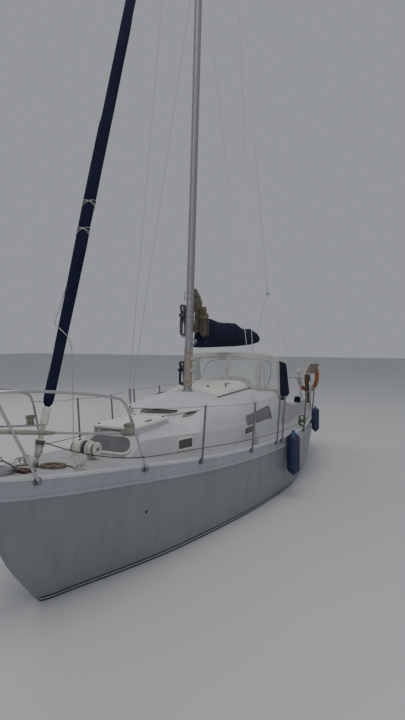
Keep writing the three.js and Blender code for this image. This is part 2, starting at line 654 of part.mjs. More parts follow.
const PUSHPIT = {
  foreAft: 6260, midAft: 6960, z: 1478, midZ: 1190, corner: [7330, 770], stern: [7390, 560],
  edgeIn: 62, sternLeg: { foot: [7320, 640], topAft: 7382 },
};
function pushpit() {
  const y = (aft) => edgeIn(aft, PUSHPIT.edgeIn);
  const foot = at(PUSHPIT.foreAft, y(PUSHPIT.foreAft), footZ(PUSHPIT.foreAft, y(PUSHPIT.foreAft)));
  const up = [foot, at(PUSHPIT.foreAft, y(PUSHPIT.foreAft), PUSHPIT.z - 150),
    at(PUSHPIT.foreAft, y(PUSHPIT.foreAft), PUSHPIT.z - 60),
    at(PUSHPIT.foreAft + 60, y(PUSHPIT.foreAft), PUSHPIT.z), at(PUSHPIT.midAft, y(PUSHPIT.midAft), PUSHPIT.z),
    at(...PUSHPIT.corner, PUSHPIT.z), at(...PUSHPIT.stern, PUSHPIT.z),
    at(PUSHPIT.stern[0], 0, PUSHPIT.z)];
  const parts = [bentTube([...up, ...up.slice(0, -1).reverse().map(mirror)], TUBE_R, 34)];
  for (const sign of sides) {
    const legs = [
      [PUSHPIT.midAft, y(PUSHPIT.midAft), PUSHPIT.midAft],
      [...PUSHPIT.sternLeg.foot, PUSHPIT.sternLeg.topAft],
    ];
    for (const [aft, half, topAft] of legs) {
      const foot0 = at(aft, sign * half, footZ(aft, half));
      parts.push(rod(foot0, at(topAft, sign * half, PUSHPIT.z), TUBE_R, 8));
      parts.push(pad(aft, sign * half));
    }
    parts.push(pad(PUSHPIT.foreAft, sign * y(PUSHPIT.foreAft)));
    parts.push(rod(at(PUSHPIT.foreAft, sign * y(PUSHPIT.foreAft), PUSHPIT.midZ),
      at(PUSHPIT.midAft, sign * y(PUSHPIT.midAft), PUSHPIT.midZ), TUBE_R - 2, 8));
  }
  return join(parts).subtract(seat);
}
place('pushpit', pushpit(), STEEL);

// Stanchions with both lifelines: aft, height over the deck edge
const STANCHIONS = [[1630, 600], [2700, 600], [3410, 640], [3580, 620], [4600, 600], [5450, 600]];
const LEAN = 45;
const TOP_LINE = { fore: [560, 600, 1660], below: 14, aftZ: 1385 };
const LOW_LINE = { fore: [690, 648, 1180], up: 122, aftZ: 1130 };
function lifelines(sign) {
  const parts = [];
  const flip = (p) => (sign > 0 ? p : mirror(p));
  const tops = [at(...TOP_LINE.fore)];
  const mids = [at(...LOW_LINE.fore)];
  for (const [aft, high] of STANCHIONS) {
    const y = outerY(aft);
    const top = hullAt(aft).deckZ + high;
    parts.push(rod(flip(outerFoot(aft)), flip(at(aft, y + LEAN, top)), TUBE_R, 8));
    parts.push(sign > 0 ? outerPlate(aft) : outerPlate(aft).mirror([0, 1, 0]));
    tops.push(at(aft, y + LEAN, top - TOP_LINE.below));
    mids.push(at(aft, y + LEAN / 4, hullAt(aft).deckZ + LOW_LINE.up));
  }
  const endAt = (z) => at(PUSHPIT.foreAft - TUBE_R - 9, edgeIn(PUSHPIT.foreAft, PUSHPIT.edgeIn), z);
  tops.push(endAt(TOP_LINE.aftZ));
  mids.push(endAt(LOW_LINE.aftZ));
  for (const run of [tops, mids]) {
    run.slice(1).forEach((p, i) => parts.push(rod(flip(run[i]), flip(p), WIRE_R, 5)));
  }
  return join(parts).subtract(seat).subtract(edgeTrim);
}
place('lifelines_port', lifelines(1), STEEL);
place('lifelines_starboard', lifelines(-1), STEEL);

// Stem fitting with its roller cheeks, and the anchor that lies in it
const STEM_TOP = 1262;
place('bow_roller', join([
  block(-905, -330, -58, -46, STEM_TOP - 30, STEM_TOP + 62),
  block(-905, -330, 46, 58, STEM_TOP - 30, STEM_TOP + 62),
  block(-905, -330, -58, 58, STEM_TOP - 34, STEM_TOP - 22),
  rod(at(-860, -50, STEM_TOP + 22), at(-860, 50, STEM_TOP + 22), 30, 12),
]).subtract(seat), STEEL);

const SHANK = [[-1012, 1115], [-905, 1335], [-480, 1345]];
function anchor() {
  const shankRing = (aft, z, h) => [[-9, -h], [9, -h], [9, h], [-9, h]].map(([y, dz]) => at(aft, y, z + dz));
  const shank = loft(SHANK.map(([aft, z]) => shankRing(aft, z, 22)));
  const flukeRing = (aft, half, z) => [[-half, 0], [0, -26], [half, 0], [0, -12]]
    .map(([y, dz]) => at(aft, y, z + dz));
  const fluke = loft([flukeRing(-1075, 12, 1265), flukeRing(-1035, 105, 1190), flukeRing(-985, 118, 1060),
    flukeRing(-948, 20, 955)]);
  return join([shank, fluke]);
}
place('anchor', anchor(), IRON);

// Windlass with a warping drum on its port end
const WINDLASS = { aft: 650, z: 1215, r: 92 };
const windlassFoot = footZ(WINDLASS.aft, 0);
place('windlass', join([
  rod(at(WINDLASS.aft, -150, WINDLASS.z), at(WINDLASS.aft, 60, WINDLASS.z), WINDLASS.r, 18),
  block(WINDLASS.aft - 95, WINDLASS.aft + 95, -140, 50, windlassFoot - 20, WINDLASS.z - 20),
]).subtract(seat), WHITE);
place('windlass_drum', turned(at(WINDLASS.aft, 60 + SEAT_GAP, WINDLASS.z), new THREE.Vector3(0, 1, 0), [
  [0, 74], [20, 74], [30, 48], [56, 48], [64, 72], [80, 72],
], 16), WHITE);

// Mast, with its spreaders and the gooseneck's fork. Its frame leans aft by the rake.
const mastDir = new THREE.Vector3(-Math.sin(MAST_RAKE), 0, Math.cos(MAST_RAKE));
const mastFoot = at(MAST_AFT, 0, MAST_FOOT_Z);
const mastAxisAt = (z) => mastFoot.clone().addScaledVector(mastDir, (z - MAST_FOOT_Z) / mastDir.z);
function oval(centre, long, wide, sides = 16) {
  return Array.from({ length: sides }, (_, i) => {
    const a = (i / sides) * Math.PI * 2;
    const [dx, dy] = [(long / 2) * Math.cos(a), (wide / 2) * Math.sin(a)];
    return new THREE.Vector3(centre.x + dx, centre.y + dy, centre.z);
  });
}
const forkAt = at(GOOSENECK_AFT, 0, GOOSENECK_Z);
const mastTube = (extra) => loft([
  oval(mastAxisAt(MAST_FOOT_Z - 5), MAST_LONG + extra, MAST_WIDE + extra),
  oval(mastAxisAt(10500), MAST_LONG + extra, MAST_WIDE + extra),
  oval(mastAxisAt(MAST_HEAD_Z + extra / 2), MAST_LONG - 30 + extra, MAST_WIDE - 16 + extra),
]);
function mast() {
  const shoe = loft([
    oval(mastAxisAt(MAST_FOOT_Z - 30), MAST_LONG + 60, MAST_WIDE + 60),
    oval(mastAxisAt(MAST_FOOT_Z + 26), MAST_LONG + 44, MAST_WIDE + 44),
  ]);
  const plates = [40, -40].map((dz) => {
    const near = mastAxisAt(GOOSENECK_Z + dz);
    const far = forkAt.clone().addScaledVector(mastDir, dz);
    const tongue = [[near, -24], [near, 24], [far, 24], [far, -24]];
    return rod(far.clone().addScaledVector(mastDir, -7), far.clone().addScaledVector(mastDir, 7), 26, 12)
      .add(loft([7, -7].map((h) => tongue.map(([p, y]) => new THREE.Vector3(p.x, y, p.z + h)))));
  });
  return join([mastTube(0), shoe, ...plates]).subtract(roofTop);
}
place('mast', mast(), ALLOY);

const mastSeat = mastTube(2 * SEAT_GAP);
const spreaderRoot = mastAxisAt(SPREADER_Z);
function spreader(sign) {
  const { x: rootX, z } = spreaderRoot;
  const ring = (y, long) => [[-long / 2, 0], [0, 14], [long / 2, 0], [0, -14]]
    .map(([dx, dz]) => new THREE.Vector3(rootX + dx, sign * y, z + dz));
  return loft([ring(20, 80), ring(SPREADER_HALF - 9, 44)]).subtract(mastSeat);
}
place('spreader_port', spreader(1), ALLOY);
place('spreader_starboard', spreader(-1), ALLOY);

const head = mastAxisAt(MAST_HEAD_Z);
const CRANE = { aft: 175, fore: 130, half: 24, low: 60, high: 18 };
place('masthead_crane', block(STEM_X - head.x - CRANE.fore, STEM_X - head.x + CRANE.aft, -CRANE.half,
  CRANE.half, head.z - CRANE.low, head.z + CRANE.high).subtract(mastSeat), ALLOY);

// Boom with its lug between the fork's plates, and the canvas cover round boom and sail
const boomStart = forkAt;
const boomEnd = at(BOOM_END_AFT, 0, BOOM_END_Z);
const boomDir = boomEnd.clone().sub(boomStart).normalize();
const boomAt = (aft) => boomStart.clone().addScaledVector(boomDir, (aft - GOOSENECK_AFT) / -boomDir.x);
function ovalYZ(aft, wide, high, z, sides = 12) {
  return Array.from({ length: sides }, (_, i) => {
    const a = (i / sides) * Math.PI * 2;
    return at(aft, (wide / 2) * Math.cos(a), z + (high / 2) * Math.sin(a));
  });
}
const boomTube = (extra) => loft([GOOSENECK_AFT + 45, BOOM_END_AFT].map((aft) => (
  ovalYZ(aft, 74 + extra, 104 + extra, boomAt(aft).z))));
function boom() {
  const lugEnd = (d) => forkAt.clone().addScaledVector(mastDir, d);
  const lug = rod(lugEnd(-31), lugEnd(31), 22, 12);
  const neck = loft([ovalYZ(GOOSENECK_AFT, 30, 40, boomAt(GOOSENECK_AFT).z, 8),
    ovalYZ(GOOSENECK_AFT + 60, 50, 52, boomAt(GOOSENECK_AFT + 60).z, 8)]);
  return join([lug, neck, boomTube(0)]);
}
place('boom', boom(), ALLOY);

// Cover sections: aft, bottom, top, half width
const COVER = [
  [3215, 2196, 2282, 55], [3385, 2186, 2425, 94], [3428, 2185, 2640, 100], [3620, 2185, 2655, 105],
  [4180, 2186, 2585, 108], [4940, 2190, 2592, 102], [5310, 2198, 2505, 92], [5800, 2212, 2512, 84],
  [6280, 2262, 2400, 58],
];
function coverRing([aft, low, high, half]) {
  const profile = [[0, 0], [0.55, 0.04], [0.85, 0.16], [1, 0.34], [0.85, 0.62], [0.5, 0.9], [0, 1]];
  const port = profile.map(([w, h]) => at(aft, w * half, lerp(low, high, h)));
  return [...port, ...port.slice(1, -1).reverse().map(mirror)];
}
place('sail_cover', loft(COVER.map(coverRing)).subtract(boomTube(0.8)), NAVY);

// Furled headsail on the forestay, its drum and the stay itself
const stayFoot = at(FORESTAY_AFT, 0, FORESTAY_Z);
const stayTop = at(FORESTAY_TOP_AFT, 0, FORESTAY_TOP_Z);
const stayDir = stayTop.clone().sub(stayFoot).normalize();
const stayAt = (d) => stayFoot.clone().addScaledVector(stayDir, d);
const stayLong = stayTop.distanceTo(stayFoot);
const SAIL_FOOT = 498;
place('furled_headsail', turned(stayFoot, stayDir, [
  [SAIL_FOOT, 20], [540, 46], [2600, 66], [5200, 60], [stayLong - 1150, 24], [stayLong - 1110, 14],
  [stayLong - 2, 14],
], 12), NAVY);
place('furler_drum', join([
  turned(stayFoot, stayDir, [
    [12, 12], [50, 20], [60, 26], [145, 36], [152, 46], [206, 46], [214, 21], [338, 21], [344, 36], [488, 36],
    [SAIL_FOOT - SEAT_GAP, 20],
  ], 16),
  block(FORESTAY_AFT - 30, FORESTAY_AFT + 30, -8, 8, footZ(FORESTAY_AFT, 0) - 20, FORESTAY_Z + 40),
]).subtract(seat), WHITE);

// Shrouds of each side, which end in one chainplate, and the backstay with its bridle
const chainplateAt = (sign) => at(CHAINPLATE_AFT, sign * edgeIn(CHAINPLATE_AFT, CHAINPLATE_IN), CHAINPLATE_Z);
function capShroud(sign) {
  const plate = chainplateAt(sign);
  const tip = new THREE.Vector3(spreaderRoot.x, sign * SPREADER_HALF, spreaderRoot.z);
  const hound = mastAxisAt(MAST_HEAD_Z - 120);
  return join([
    block(CHAINPLATE_AFT - 60, CHAINPLATE_AFT + 60, plate.y - 22, plate.y + 22,
      CHAINPLATE_Z - 60, CHAINPLATE_Z + 90),
    rod(plate, plate.clone().lerp(tip, 0.035), 10, 8),
    rod(plate, tip, WIRE_R, 6),
    rod(tip, new THREE.Vector3(hound.x, sign * 52, hound.z), WIRE_R, 6),
    ball(tip, 7),
  ]).subtract(seat);
}
function lowerShroud(sign) {
  const foot = chainplateAt(sign).add(new THREE.Vector3(-45, 0, 91));
  const hound = mastAxisAt(SPREADER_Z - 150);
  return rod(foot, new THREE.Vector3(hound.x, sign * (MAST_WIDE / 2 + 5), hound.z), WIRE_R, 6);
}
sides.forEach((sign, i) => {
  const side = ['port', 'starboard'][i];
  place(`cap_shroud_${side}`, capShroud(sign), STEEL);
  place(`lower_shroud_${side}`, lowerShroud(sign), STEEL);
});

const BRIDLE = { aft: 6985, z: 3300, footAft: 7300, footHalf: 730 };
const bridleTop = at(BRIDLE.aft, 0, BRIDLE.z);
const bridleFootZ = footZ(BRIDLE.footAft, BRIDLE.footHalf);
place('backstay', join([
  rod(new THREE.Vector3(head.x - CRANE.aft - 5, 0, MAST_HEAD_Z - 40), bridleTop, WIRE_R, 6),
  ball(bridleTop, 16),
  ...sides.map((s) => rod(bridleTop, at(BRIDLE.footAft, s * BRIDLE.footHalf, bridleFootZ), WIRE_R, 6)),
  ...sides.map((s) => block(BRIDLE.footAft - 22, BRIDLE.footAft + 22, s * BRIDLE.footHalf - 9,
    s * BRIDLE.footHalf + 9, bridleFootZ - 20, bridleFootZ + 60)),
]).subtract(seat), STEEL);

// Dodger over the companionway, rows of aft, half width, top, foot and lean (how far the edge runs
// aft for its drop): a canopy shell, and its two tube hoops inside
const DODGER = [
  [4235, 640, 1590, 1180, 0], [4330, 665, 1845, 1180, 0], [4440, 690, 2065, 1180, 0],
  [4640, 740, 2085, 1180, 0], [4940, 815, 2030, 1180, 0], [5240, 866, 1970, 1330, 0.32],
];
function dodgerRing([aft, half, top, low, lean], inset) {
  const round = Math.min(110, (top - 1400) / 2);
  const port = [[half - inset, low], [half - 28 - inset, Math.max(top - round - inset, low + 60)],
    [half - 75 - inset, top - round * 0.35 - inset], [half - 190 - inset, top - 12 - inset],
    [(half - 190) / 2, top - inset], [0, top + 4 - inset]];
  const left = port.map(([y, z]) => at(aft + lean * (top - z), y, z));
  return [...left, ...left.slice(0, -1).reverse().map(mirror)];
}
const CANVAS = 9;
const dodgerOuter = loft(DODGER.map((row) => dodgerRing(row, 0)));
const OPEN_AFT = 20;
const dodgerInner = loft(DODGER.map(([aft, half, top, low, lean], i) => {
  const shift = [22, 14, 14][i] ?? (i === DODGER.length - 1 ? OPEN_AFT : 0);
  return dodgerRing([aft + shift, half, top, low - 60, lean], CANVAS);
}));
const hoodBlock = grow(hoodOuter.add(runners), 0);
place('dodger_canopy', dodgerOuter.subtract(dodgerInner).subtract(roofTop).subtract(hullSeat)
  .subtract(hoodBlock), WHITE);

function hoop(aft, half, footZ0, topZ, lean) {
  const port = [
    at(aft, half, footZ0), at(aft + lean * 0.6, half - 20, footZ0 + (topZ - footZ0) * 0.55),
    at(aft + lean * 0.9, half - 60, topZ - 70), at(aft + lean, half - 190, topZ - 8), at(aft + lean, 0, topZ),
  ];
  return bentTube([...port, ...port.slice(0, -1).reverse().map(mirror)], 11, 18, 6);
}
place('dodger_frame', join([
  hoop(4590, 662, 1300, 2034, 50), hoop(4630, 662, 1300, 1940, 540),
  ...sides.map((s) => block(4560, 4850, Math.min(s * 648, s * 676), Math.max(s * 648, s * 676), 1300, 1524)),
]).subtract(roofTop), STEEL);

// Winches, cleats and fenders
function winch(aft, y, z) {
  return turned(at(aft, y, z), UP, [[0, 62], [20, 64], [70, 56], [98, 52], [108, 30], [110, 6]], 16);
}
function cleat(aft, y) {
  const z = footZ(aft, y);
  return join([
    block(aft - 45, aft - 20, y - 12, y + 12, z - 20, z + 34),
    block(aft + 20, aft + 45, y - 12, y + 12, z - 20, z + 34),
    block(aft - 110, aft + 110, y - 11, y + 11, z + 30, z + 50),
    block(aft - 60, aft + 60, y - 22, y + 22, z - 20, z + 7),
  ]).subtract(seat);
}
sides.forEach((sign, i) => {
  const side = ['port', 'starboard'][i];
  place(`winch_${side}`, winch(WINCH.aft, sign * WINCH.y, WINCH.z + SEAT_GAP), NAVY);
  place(`cleat_fore_${side}`, cleat(120, sign * 330), STEEL);
  place(`cleat_aft_${side}`, cleat(7080, sign * 880), STEEL);
});

// Fenders: aft, radius, heights of their ends and how far they stand out from the deck edge
const FENDERS = [
  ['fender_port_fore', 3780, 95, 320, 965, 15], ['fender_port_aft', 5360, 64, 690, 1130, 35.9],
];
for (const [name, aft, r, low, high, out] of FENDERS) {
  const y = hullAt(aft).half + out + r;
  const tall = high - low;
  place(name, turned(at(aft, y, low), UP, [
    [0, r * 0.3], [12, r * 0.48], [r * 0.7, r], [tall - r, r], [tall - r * 0.3, r * 0.46],
    [tall - r * 0.2, r * 0.26], [tall + 16, r * 0.26],
  ], 16), RUBBER);
}

// Loose gear at the port quarter: a horseshoe buoy on the stern rail, the outboard's wooden pad with
// a short post on the rail, and the small outboard stowed upright under a canvas cover
const BUOY = { aft: 7445, r: 45 };
const BUOY_LINE = [[585, 1690], [585, 1420], [655, 1265], [775, 1215], [895, 1265], [965, 1420], [965, 1690]];
place('horseshoe_buoy', bentTube(BUOY_LINE.map(([y, z]) => at(BUOY.aft, y, z)), BUOY.r, 60, 8), ORANGE);
const PAD = { aft: [7080, 7115], post: { aft: 7098, y: 900, topZ: 1620, r: 14 } };
const PAD_OUTLINE = [[800, 1600], [1000, 1600], [1090, 1800], [905, 1800]];
place('outboard_pad', join([
  loft(PAD.aft.map((aft) => PAD_OUTLINE.map(([y, z]) => at(aft, y, z)))),
  rod(at(PAD.post.aft, PAD.post.y, PUSHPIT.z + TUBE_R + SEAT_GAP),
    at(PAD.post.aft, PAD.post.y, PAD.post.topZ), PAD.post.r, 8),
]), TIMBER);
// Rows of height, half length and half width
const OUTBOARD = { aft: 7012, y: 853 };
const OUTBOARD_ROWS = [[975, 26, 40], [1290, 34, 44], [1400, 52, 54], [1540, 56, 56], [1590, 40, 44]];
place('stowed_outboard', loft(OUTBOARD_ROWS
  .map(([z, long, wide]) => oval(at(OUTBOARD.aft, OUTBOARD.y, z), 2 * long, 2 * wide, 12))), CANVAS_BROWN);

// The mainsail's luff, folded between mast and cover; it turns with the boom.
// Rows of height, fore edge, aft edge and width.
const LUFF_ROWS = [
  [2412.8, 3200, 3370, 84], [2560, 3198, 3388, 112], [2700, 3206, 3395, 104], [2900, 3214, 3350, 84],
  [3060, 3222, 3300, 54],
];
place('luff_bundle', loft(LUFF_ROWS.map(([z, fore, aft, wide]) => (
  oval(at((fore + aft) / 2, 0, z), aft - fore, wide, 12)))), CANVAS_BROWN);

export default yacht;
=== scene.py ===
# Looks of a small cruising sloop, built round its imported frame. Metres, origin on the centreline
# at the waterline, +X to the bow, +Y to port, +Z up. Lengths along the hull, called aft, are
# measured from the waterline stem towards the stern.
import math

import bpy
import bmesh
import numpy as np
from mathutils import Matrix, Vector
from mathutils import noise as hash_noise


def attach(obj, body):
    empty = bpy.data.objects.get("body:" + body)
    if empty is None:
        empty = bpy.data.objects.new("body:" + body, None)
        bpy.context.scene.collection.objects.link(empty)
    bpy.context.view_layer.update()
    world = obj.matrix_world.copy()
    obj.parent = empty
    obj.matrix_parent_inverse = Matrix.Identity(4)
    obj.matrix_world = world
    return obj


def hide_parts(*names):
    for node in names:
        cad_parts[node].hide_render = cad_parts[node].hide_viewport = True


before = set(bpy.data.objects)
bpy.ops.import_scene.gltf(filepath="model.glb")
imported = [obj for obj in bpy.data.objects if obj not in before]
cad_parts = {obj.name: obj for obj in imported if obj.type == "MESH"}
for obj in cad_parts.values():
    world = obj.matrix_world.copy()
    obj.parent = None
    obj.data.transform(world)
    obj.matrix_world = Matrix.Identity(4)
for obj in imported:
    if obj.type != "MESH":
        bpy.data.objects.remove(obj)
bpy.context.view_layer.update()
SIDES = {"port": 1, "starboard": -1}
AHEAD, PORT, UP = Vector((1, 0, 0)), Vector((0, 1, 0)), Vector((0, 0, 1))
LOOP = np.linspace(0, math.tau, 26)

# Camera, from the photograph's frame
PHOTO_HIGH = 720
FOCAL_PX = 495
HORIZON_ROW = 340
EYE = Vector((6.804, 3.078, 2.30))
LOOK = Vector((-0.9135, -0.4067, 0))
SENSOR_MM = 36
FLOOR_HALF = 60
SKY = ((0.80, 0.83, 0.88, 1), 0.40)

# Hull
STEM_X = 3.40
DECK_CROWN = 0.035
TRANSOM_RAKE = 0.12
HULL_FORE, TRANSOM = -0.67, 7.4
SECTION_COLUMNS = ("aft", "half", "deck", "keel", "full")
SECTIONS = [
    (-0.67, 0.042, 1.240, 1.095, 0.10),
    (-0.56, 0.142, 1.229, 0.850, 0.10),
    (-0.43, 0.222, 1.214, 0.530, 0.15),
    (-0.20, 0.330, 1.187, 0.220, 0.22),
    (0.00, 0.405, 1.165, 0.000, 0.32),
    (0.30, 0.497, 1.132, -0.105, 0.48),
    (0.745, 0.617, 1.083, -0.225, 0.68),
    (1.30, 0.738, 1.015, -0.320, 0.87),
    (2.00, 0.885, 0.942, -0.395, 0.97),
    (2.70, 1.040, 0.902, -0.440, 1.00),
    (3.41, 1.172, 0.881, -0.460, 1.00),
    (4.22, 1.280, 0.871, -0.455, 1.00),
    (5.23, 1.262, 0.871, -0.380, 0.98),
    (6.10, 1.150, 0.880, -0.240, 0.95),
    (6.80, 1.030, 0.887, -0.070, 0.93),
    (7.40, 0.925, 0.892, 0.070, 0.90),
]
BAND_DEEP = [(-0.68, 0.172), (1.70, 0.150), (3.40, 0.130), (7.40, 0.112)]
ANTIFOUL_TOP = 0.022
WHITE_LINE_TOP = 0.036
BOOT_TOP = 0.060


def at(aft, y, z):
    return Vector((STEM_X - aft, y, z))


def flip(points, sign):
    return [Vector((p.x, sign * p.y, p.z)) for p in points]


def across(points):
    """A run from port to starboard from its port half, which ends on the centreline."""
    return points + flip(points[:-1], -1)[::-1]


def row_at(rows, place):
    """The other columns of a table at a value of its first one, or their means over several."""
    table = list(zip(*rows))
    return [float(np.mean(np.interp(place, table[0], column))) for column in table[1:]]


def angles(count):
    return [k * math.tau / count for k in range(count)]


def oval(centre, one, two, radius_one, radius_two, turns):
    """Points round a centre at the given angles, in the plane of two directions."""
    return [centre + one * (radius_one * math.cos(a)) + two * (radius_two * math.sin(a)) for a in turns]


def hull_at(aft):
    rows = SECTIONS
    last = len(rows) - 1
    i = next((k for k, row in enumerate(rows) if row[0] > aft), last)
    i = min(max(i, 1), last)
    near = [rows[min(max(k, 0), last)] for k in (i - 2, i - 1, i, i + 1)]
    span = near[2][0] - near[1][0]
    u = min(max((aft - near[1][0]) / span, 0), 1)
    found = {}
    for c, name in enumerate(SECTION_COLUMNS[1:], 1):
        def slope(a, b):
            return 0 if b[0] == a[0] else (b[c] - a[c]) / (b[0] - a[0])
        m0, m1 = slope(near[0], near[2]) * span, slope(near[1], near[3]) * span
        p0, p1 = near[1][c], near[2][c]
        found[name] = (p0 + u * m0 + u * u * (3 * (p1 - p0) - 2 * m0 - m1)
                       + u ** 3 * (2 * (p0 - p1) + m0 + m1))
    return found


def side_curve(aft, count=160):
    """Half section of the topsides and bottom as arrays of y and z, from keel to deck edge."""
    s = hull_at(aft)
    half, deep, full = s["half"], s["deck"] - s["keel"], s["full"]
    p = np.array([
        (0, s["keel"]),
        (half * (0.12 + 0.63 * full), s["keel"] + deep * 0.1 * (1 - full)),
        (half * (0.45 + 0.57 * full), s["keel"] + deep * (0.55 - 0.35 * full)),
        (half, s["deck"]),
    ])
    u = np.linspace(0, 1, count)[:, None]
    curve = ((1 - u) ** 3 * p[0] + 3 * (1 - u) ** 2 * u * p[1] + 3 * (1 - u) * u * u * p[2] + u ** 3 * p[3])
    return curve[:, 0], curve[:, 1]


def side_y(aft, z):
    ys, zs = side_curve(aft)
    return float(np.interp(z, zs, ys))


def deck_z(aft, y):
    s = hull_at(aft)
    return s["deck"] + DECK_CROWN * s["half"] * (1 - (y / s["half"]) ** 2)


def on_board(aft, y, up):
    return at(aft, y, deck_z(aft, y) + up)


def band_z(aft):
    return hull_at(aft)["deck"] - row_at(BAND_DEEP, aft)[0]


def edge(aft, inward):
    return hull_at(aft)["half"] - inward


# Mesh helpers
def new_object(name, verts, faces, materials, slots=None, smooth=40, body="root"):
    mesh = bpy.data.meshes.new(name)
    mesh.from_pydata([tuple(v) for v in verts], [], faces)
    for m in materials if isinstance(materials, (list, tuple)) else [materials]:
        mesh.materials.append(m)
    if slots is not None:
        mesh.polygons.foreach_set("material_index", slots)
    obj = bpy.data.objects.new(name, mesh)
    bpy.context.scene.collection.objects.link(obj)
    tidy(obj)
    shade(obj, smooth)
    if body:
        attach(obj, body)
    return obj


def stands_for(obj, slot, *nodes):
    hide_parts(*nodes)


def tidy(obj, gap=0.00002):
    bm = bmesh.new()
    bm.from_mesh(obj.data)
    bmesh.ops.remove_doubles(bm, verts=bm.verts, dist=gap)
    bmesh.ops.dissolve_degenerate(bm, edges=bm.edges, dist=gap)
    bmesh.ops.recalc_face_normals(bm, faces=bm.faces)
    bm.to_mesh(obj.data)
    bm.free()


def shade(obj, angle):
    mesh = obj.data
    mesh.polygons.foreach_set("use_smooth", [angle > 0] * len(mesh.polygons))
    if angle > 0:
        mesh.set_sharp_from_angle(angle=math.radians(angle))


def bake(obj):
    """Applies the object's modifiers to its mesh."""
    graph = bpy.context.evaluated_depsgraph_get()
    mesh = bpy.data.meshes.new_from_object(obj.evaluated_get(graph))
    obj.modifiers.clear()
    obj.data = mesh
    return obj


def bevel(obj, width, segments=2, angle=35):
    m = obj.modifiers.new("edge", "BEVEL")
    m.width = width
    m.segments = segments
    m.limit_method = "ANGLE"
    m.angle_limit = math.radians(angle)
    return bake(obj)


def cut(obj, tool, how="DIFFERENCE"):
    m = obj.modifiers.new("cut", "BOOLEAN")
    m.operation = how
    m.solver = "EXACT"
    m.object = tool
    bpy.context.view_layer.update()
    bake(obj)
    bpy.data.objects.remove(tool)
    return obj


def ring_faces(rows, n):
    """Faces of a closed form through rings of n points, with both ends closed."""
    faces = [(r * n + i, r * n + (i + 1) % n, (r + 1) * n + (i + 1) % n, (r + 1) * n + i)
             for r in range(rows - 1) for i in range(n)]
    return faces + [tuple(range(n - 1, -1, -1)), tuple((rows - 1) * n + i for i in range(n))]


def box_rings(low, high):
    x0, y0, z0 = low
    x1, y1, z1 = high
    return [[Vector((x, y, z)) for x, y in ((x0, y0), (x1, y0), (x1, y1), (x0, y1))] for z in (z0, z1)]


def loft(name, rings, material, **how):
    verts = [p for ring in rings for p in ring]
    return new_object(name, verts, ring_faces(len(rings), len(rings[0])), material, **how)


def box(name, low, high, material, round_by=0.0, body="root"):
    obj = loft(name, box_rings(low, high), material, body=body)
    if round_by:
        bevel(obj, round_by, 3)
    return obj


def cut_box(obj, afts, half, heights):
    """Cuts a box out of an object, as far to port as to starboard."""
    tool = box("t", at(afts[1], -half, heights[0]), at(afts[0], half, heights[1]), obj.data.materials[0],
               body=None)
    return cut(obj, tool)


def cut_ahead(obj, outline, afts, sign=1):
    """Cuts an outline of y and z out of an object, between two places aft."""
    tool = [[at(a, sign * p.x, p.y) for p in outline] for a in afts]
    return cut(obj, loft("t", tool, obj.data.materials[0], body=None))


def cut_side(obj, outline, sign, ys):
    """Cuts an outline of aft and z out of an object's side."""
    tool = [[at(p.x, sign * y, p.y) for p in outline] for y in ys]
    return cut(obj, loft("t", tool, obj.data.materials[0], body=None))


def smooth_path(points, per=8):
    """Points along a centripetal curve through the given ones."""
    pts = [Vector(p) for p in points]
    ends = [2 * pts[0] - pts[1]] + pts + [2 * pts[-1] - pts[-2]]
    out = []
    for i in range(1, len(ends) - 2):
        p = ends[i - 1:i + 3]
        t = [0.0]
        for a, b in zip(p, p[1:]):
            t.append(t[-1] + max((b - a).length, 1e-6) ** 0.5)
        for k in range(per):
            u = t[1] + (t[2] - t[1]) * k / per
            a = [p[j] * ((t[j + 1] - u) / (t[j + 1] - t[j])) + p[j + 1] * ((u - t[j]) / (t[j + 1] - t[j]))
                 for j in range(3)]
            b = [a[j] * ((t[j + 2] - u) / (t[j + 2] - t[j])) + a[j + 1] * ((u - t[j]) / (t[j + 2] - t[j]))
                 for j in range(2)]
            out.append(b[0] * ((t[2] - u) / (t[2] - t[1])) + b[1] * ((u - t[1]) / (t[2] - t[1])))
    out.append(pts[-1])
    return out


def sweep_rings(path, radius, sides=12):
    """Rings round a path. radius is a number or one for each point."""
    path = [Vector(p) for p in path]
    radii = radius if hasattr(radius, "__len__") else [radius] * len(path)
    tangents = []
    for i in range(len(path)):
        a, b = path[max(i - 1, 0)], path[min(i + 1, len(path) - 1)]
        tangents.append((b - a).normalized())
    side = tangents[0].orthogonal().normalized()
    rings = []
    for p, t, r in zip(path, tangents, radii):
        side = (side - t * side.dot(t)).normalized()
        rings.append(oval(p, side, t.cross(side), r, r, angles(sides)))
    return rings


class Shell:
    """Collects several closed forms into one mesh object."""

    def __init__(self):
        self.verts, self.faces, self.slots = [], [], []

    def rings(self, rings, slot=0):
        base = len(self.verts)
        self.verts += [tuple(p) for ring in rings for p in ring]
        for f in ring_faces(len(rings), len(rings[0])):
            self.faces.append(tuple(base + k for k in f))
            self.slots.append(slot)
        return self

    def tube(self, path, radius, sides=12, slot=0):
        return self.rings(sweep_rings(path, radius, sides), slot)

    def turned(self, origin, axis, rows, sides=24, slot=0):
        """rows of distance and radius along an axis."""
        origin, axis = Vector(origin), Vector(axis).normalized()
        side = axis.orthogonal().normalized()
        rings = [oval(origin + axis * d, side, axis.cross(side), r, r, angles(sides)) for d, r in rows]
        return self.rings(rings, slot)

    def box(self, low, high, slot=0):
        return self.rings(box_rings(low, high), slot)

    def side_box(self, sign, afts, ys, heights, slot=0):
        """A box on one side of the boat, given by its distances from the centreline."""
        y0, y1 = sorted(sign * y for y in ys)
        return self.box(at(afts[1], y0, heights[0]), at(afts[0], y1, heights[1]), slot)

    def make(self, name, materials, body="root", smooth=40, round_by=0.0):
        obj = new_object(name, self.verts, self.faces, materials, self.slots, smooth, body)
        if round_by:
            bevel(obj, round_by, 2)
            shade(obj, smooth)
        return obj


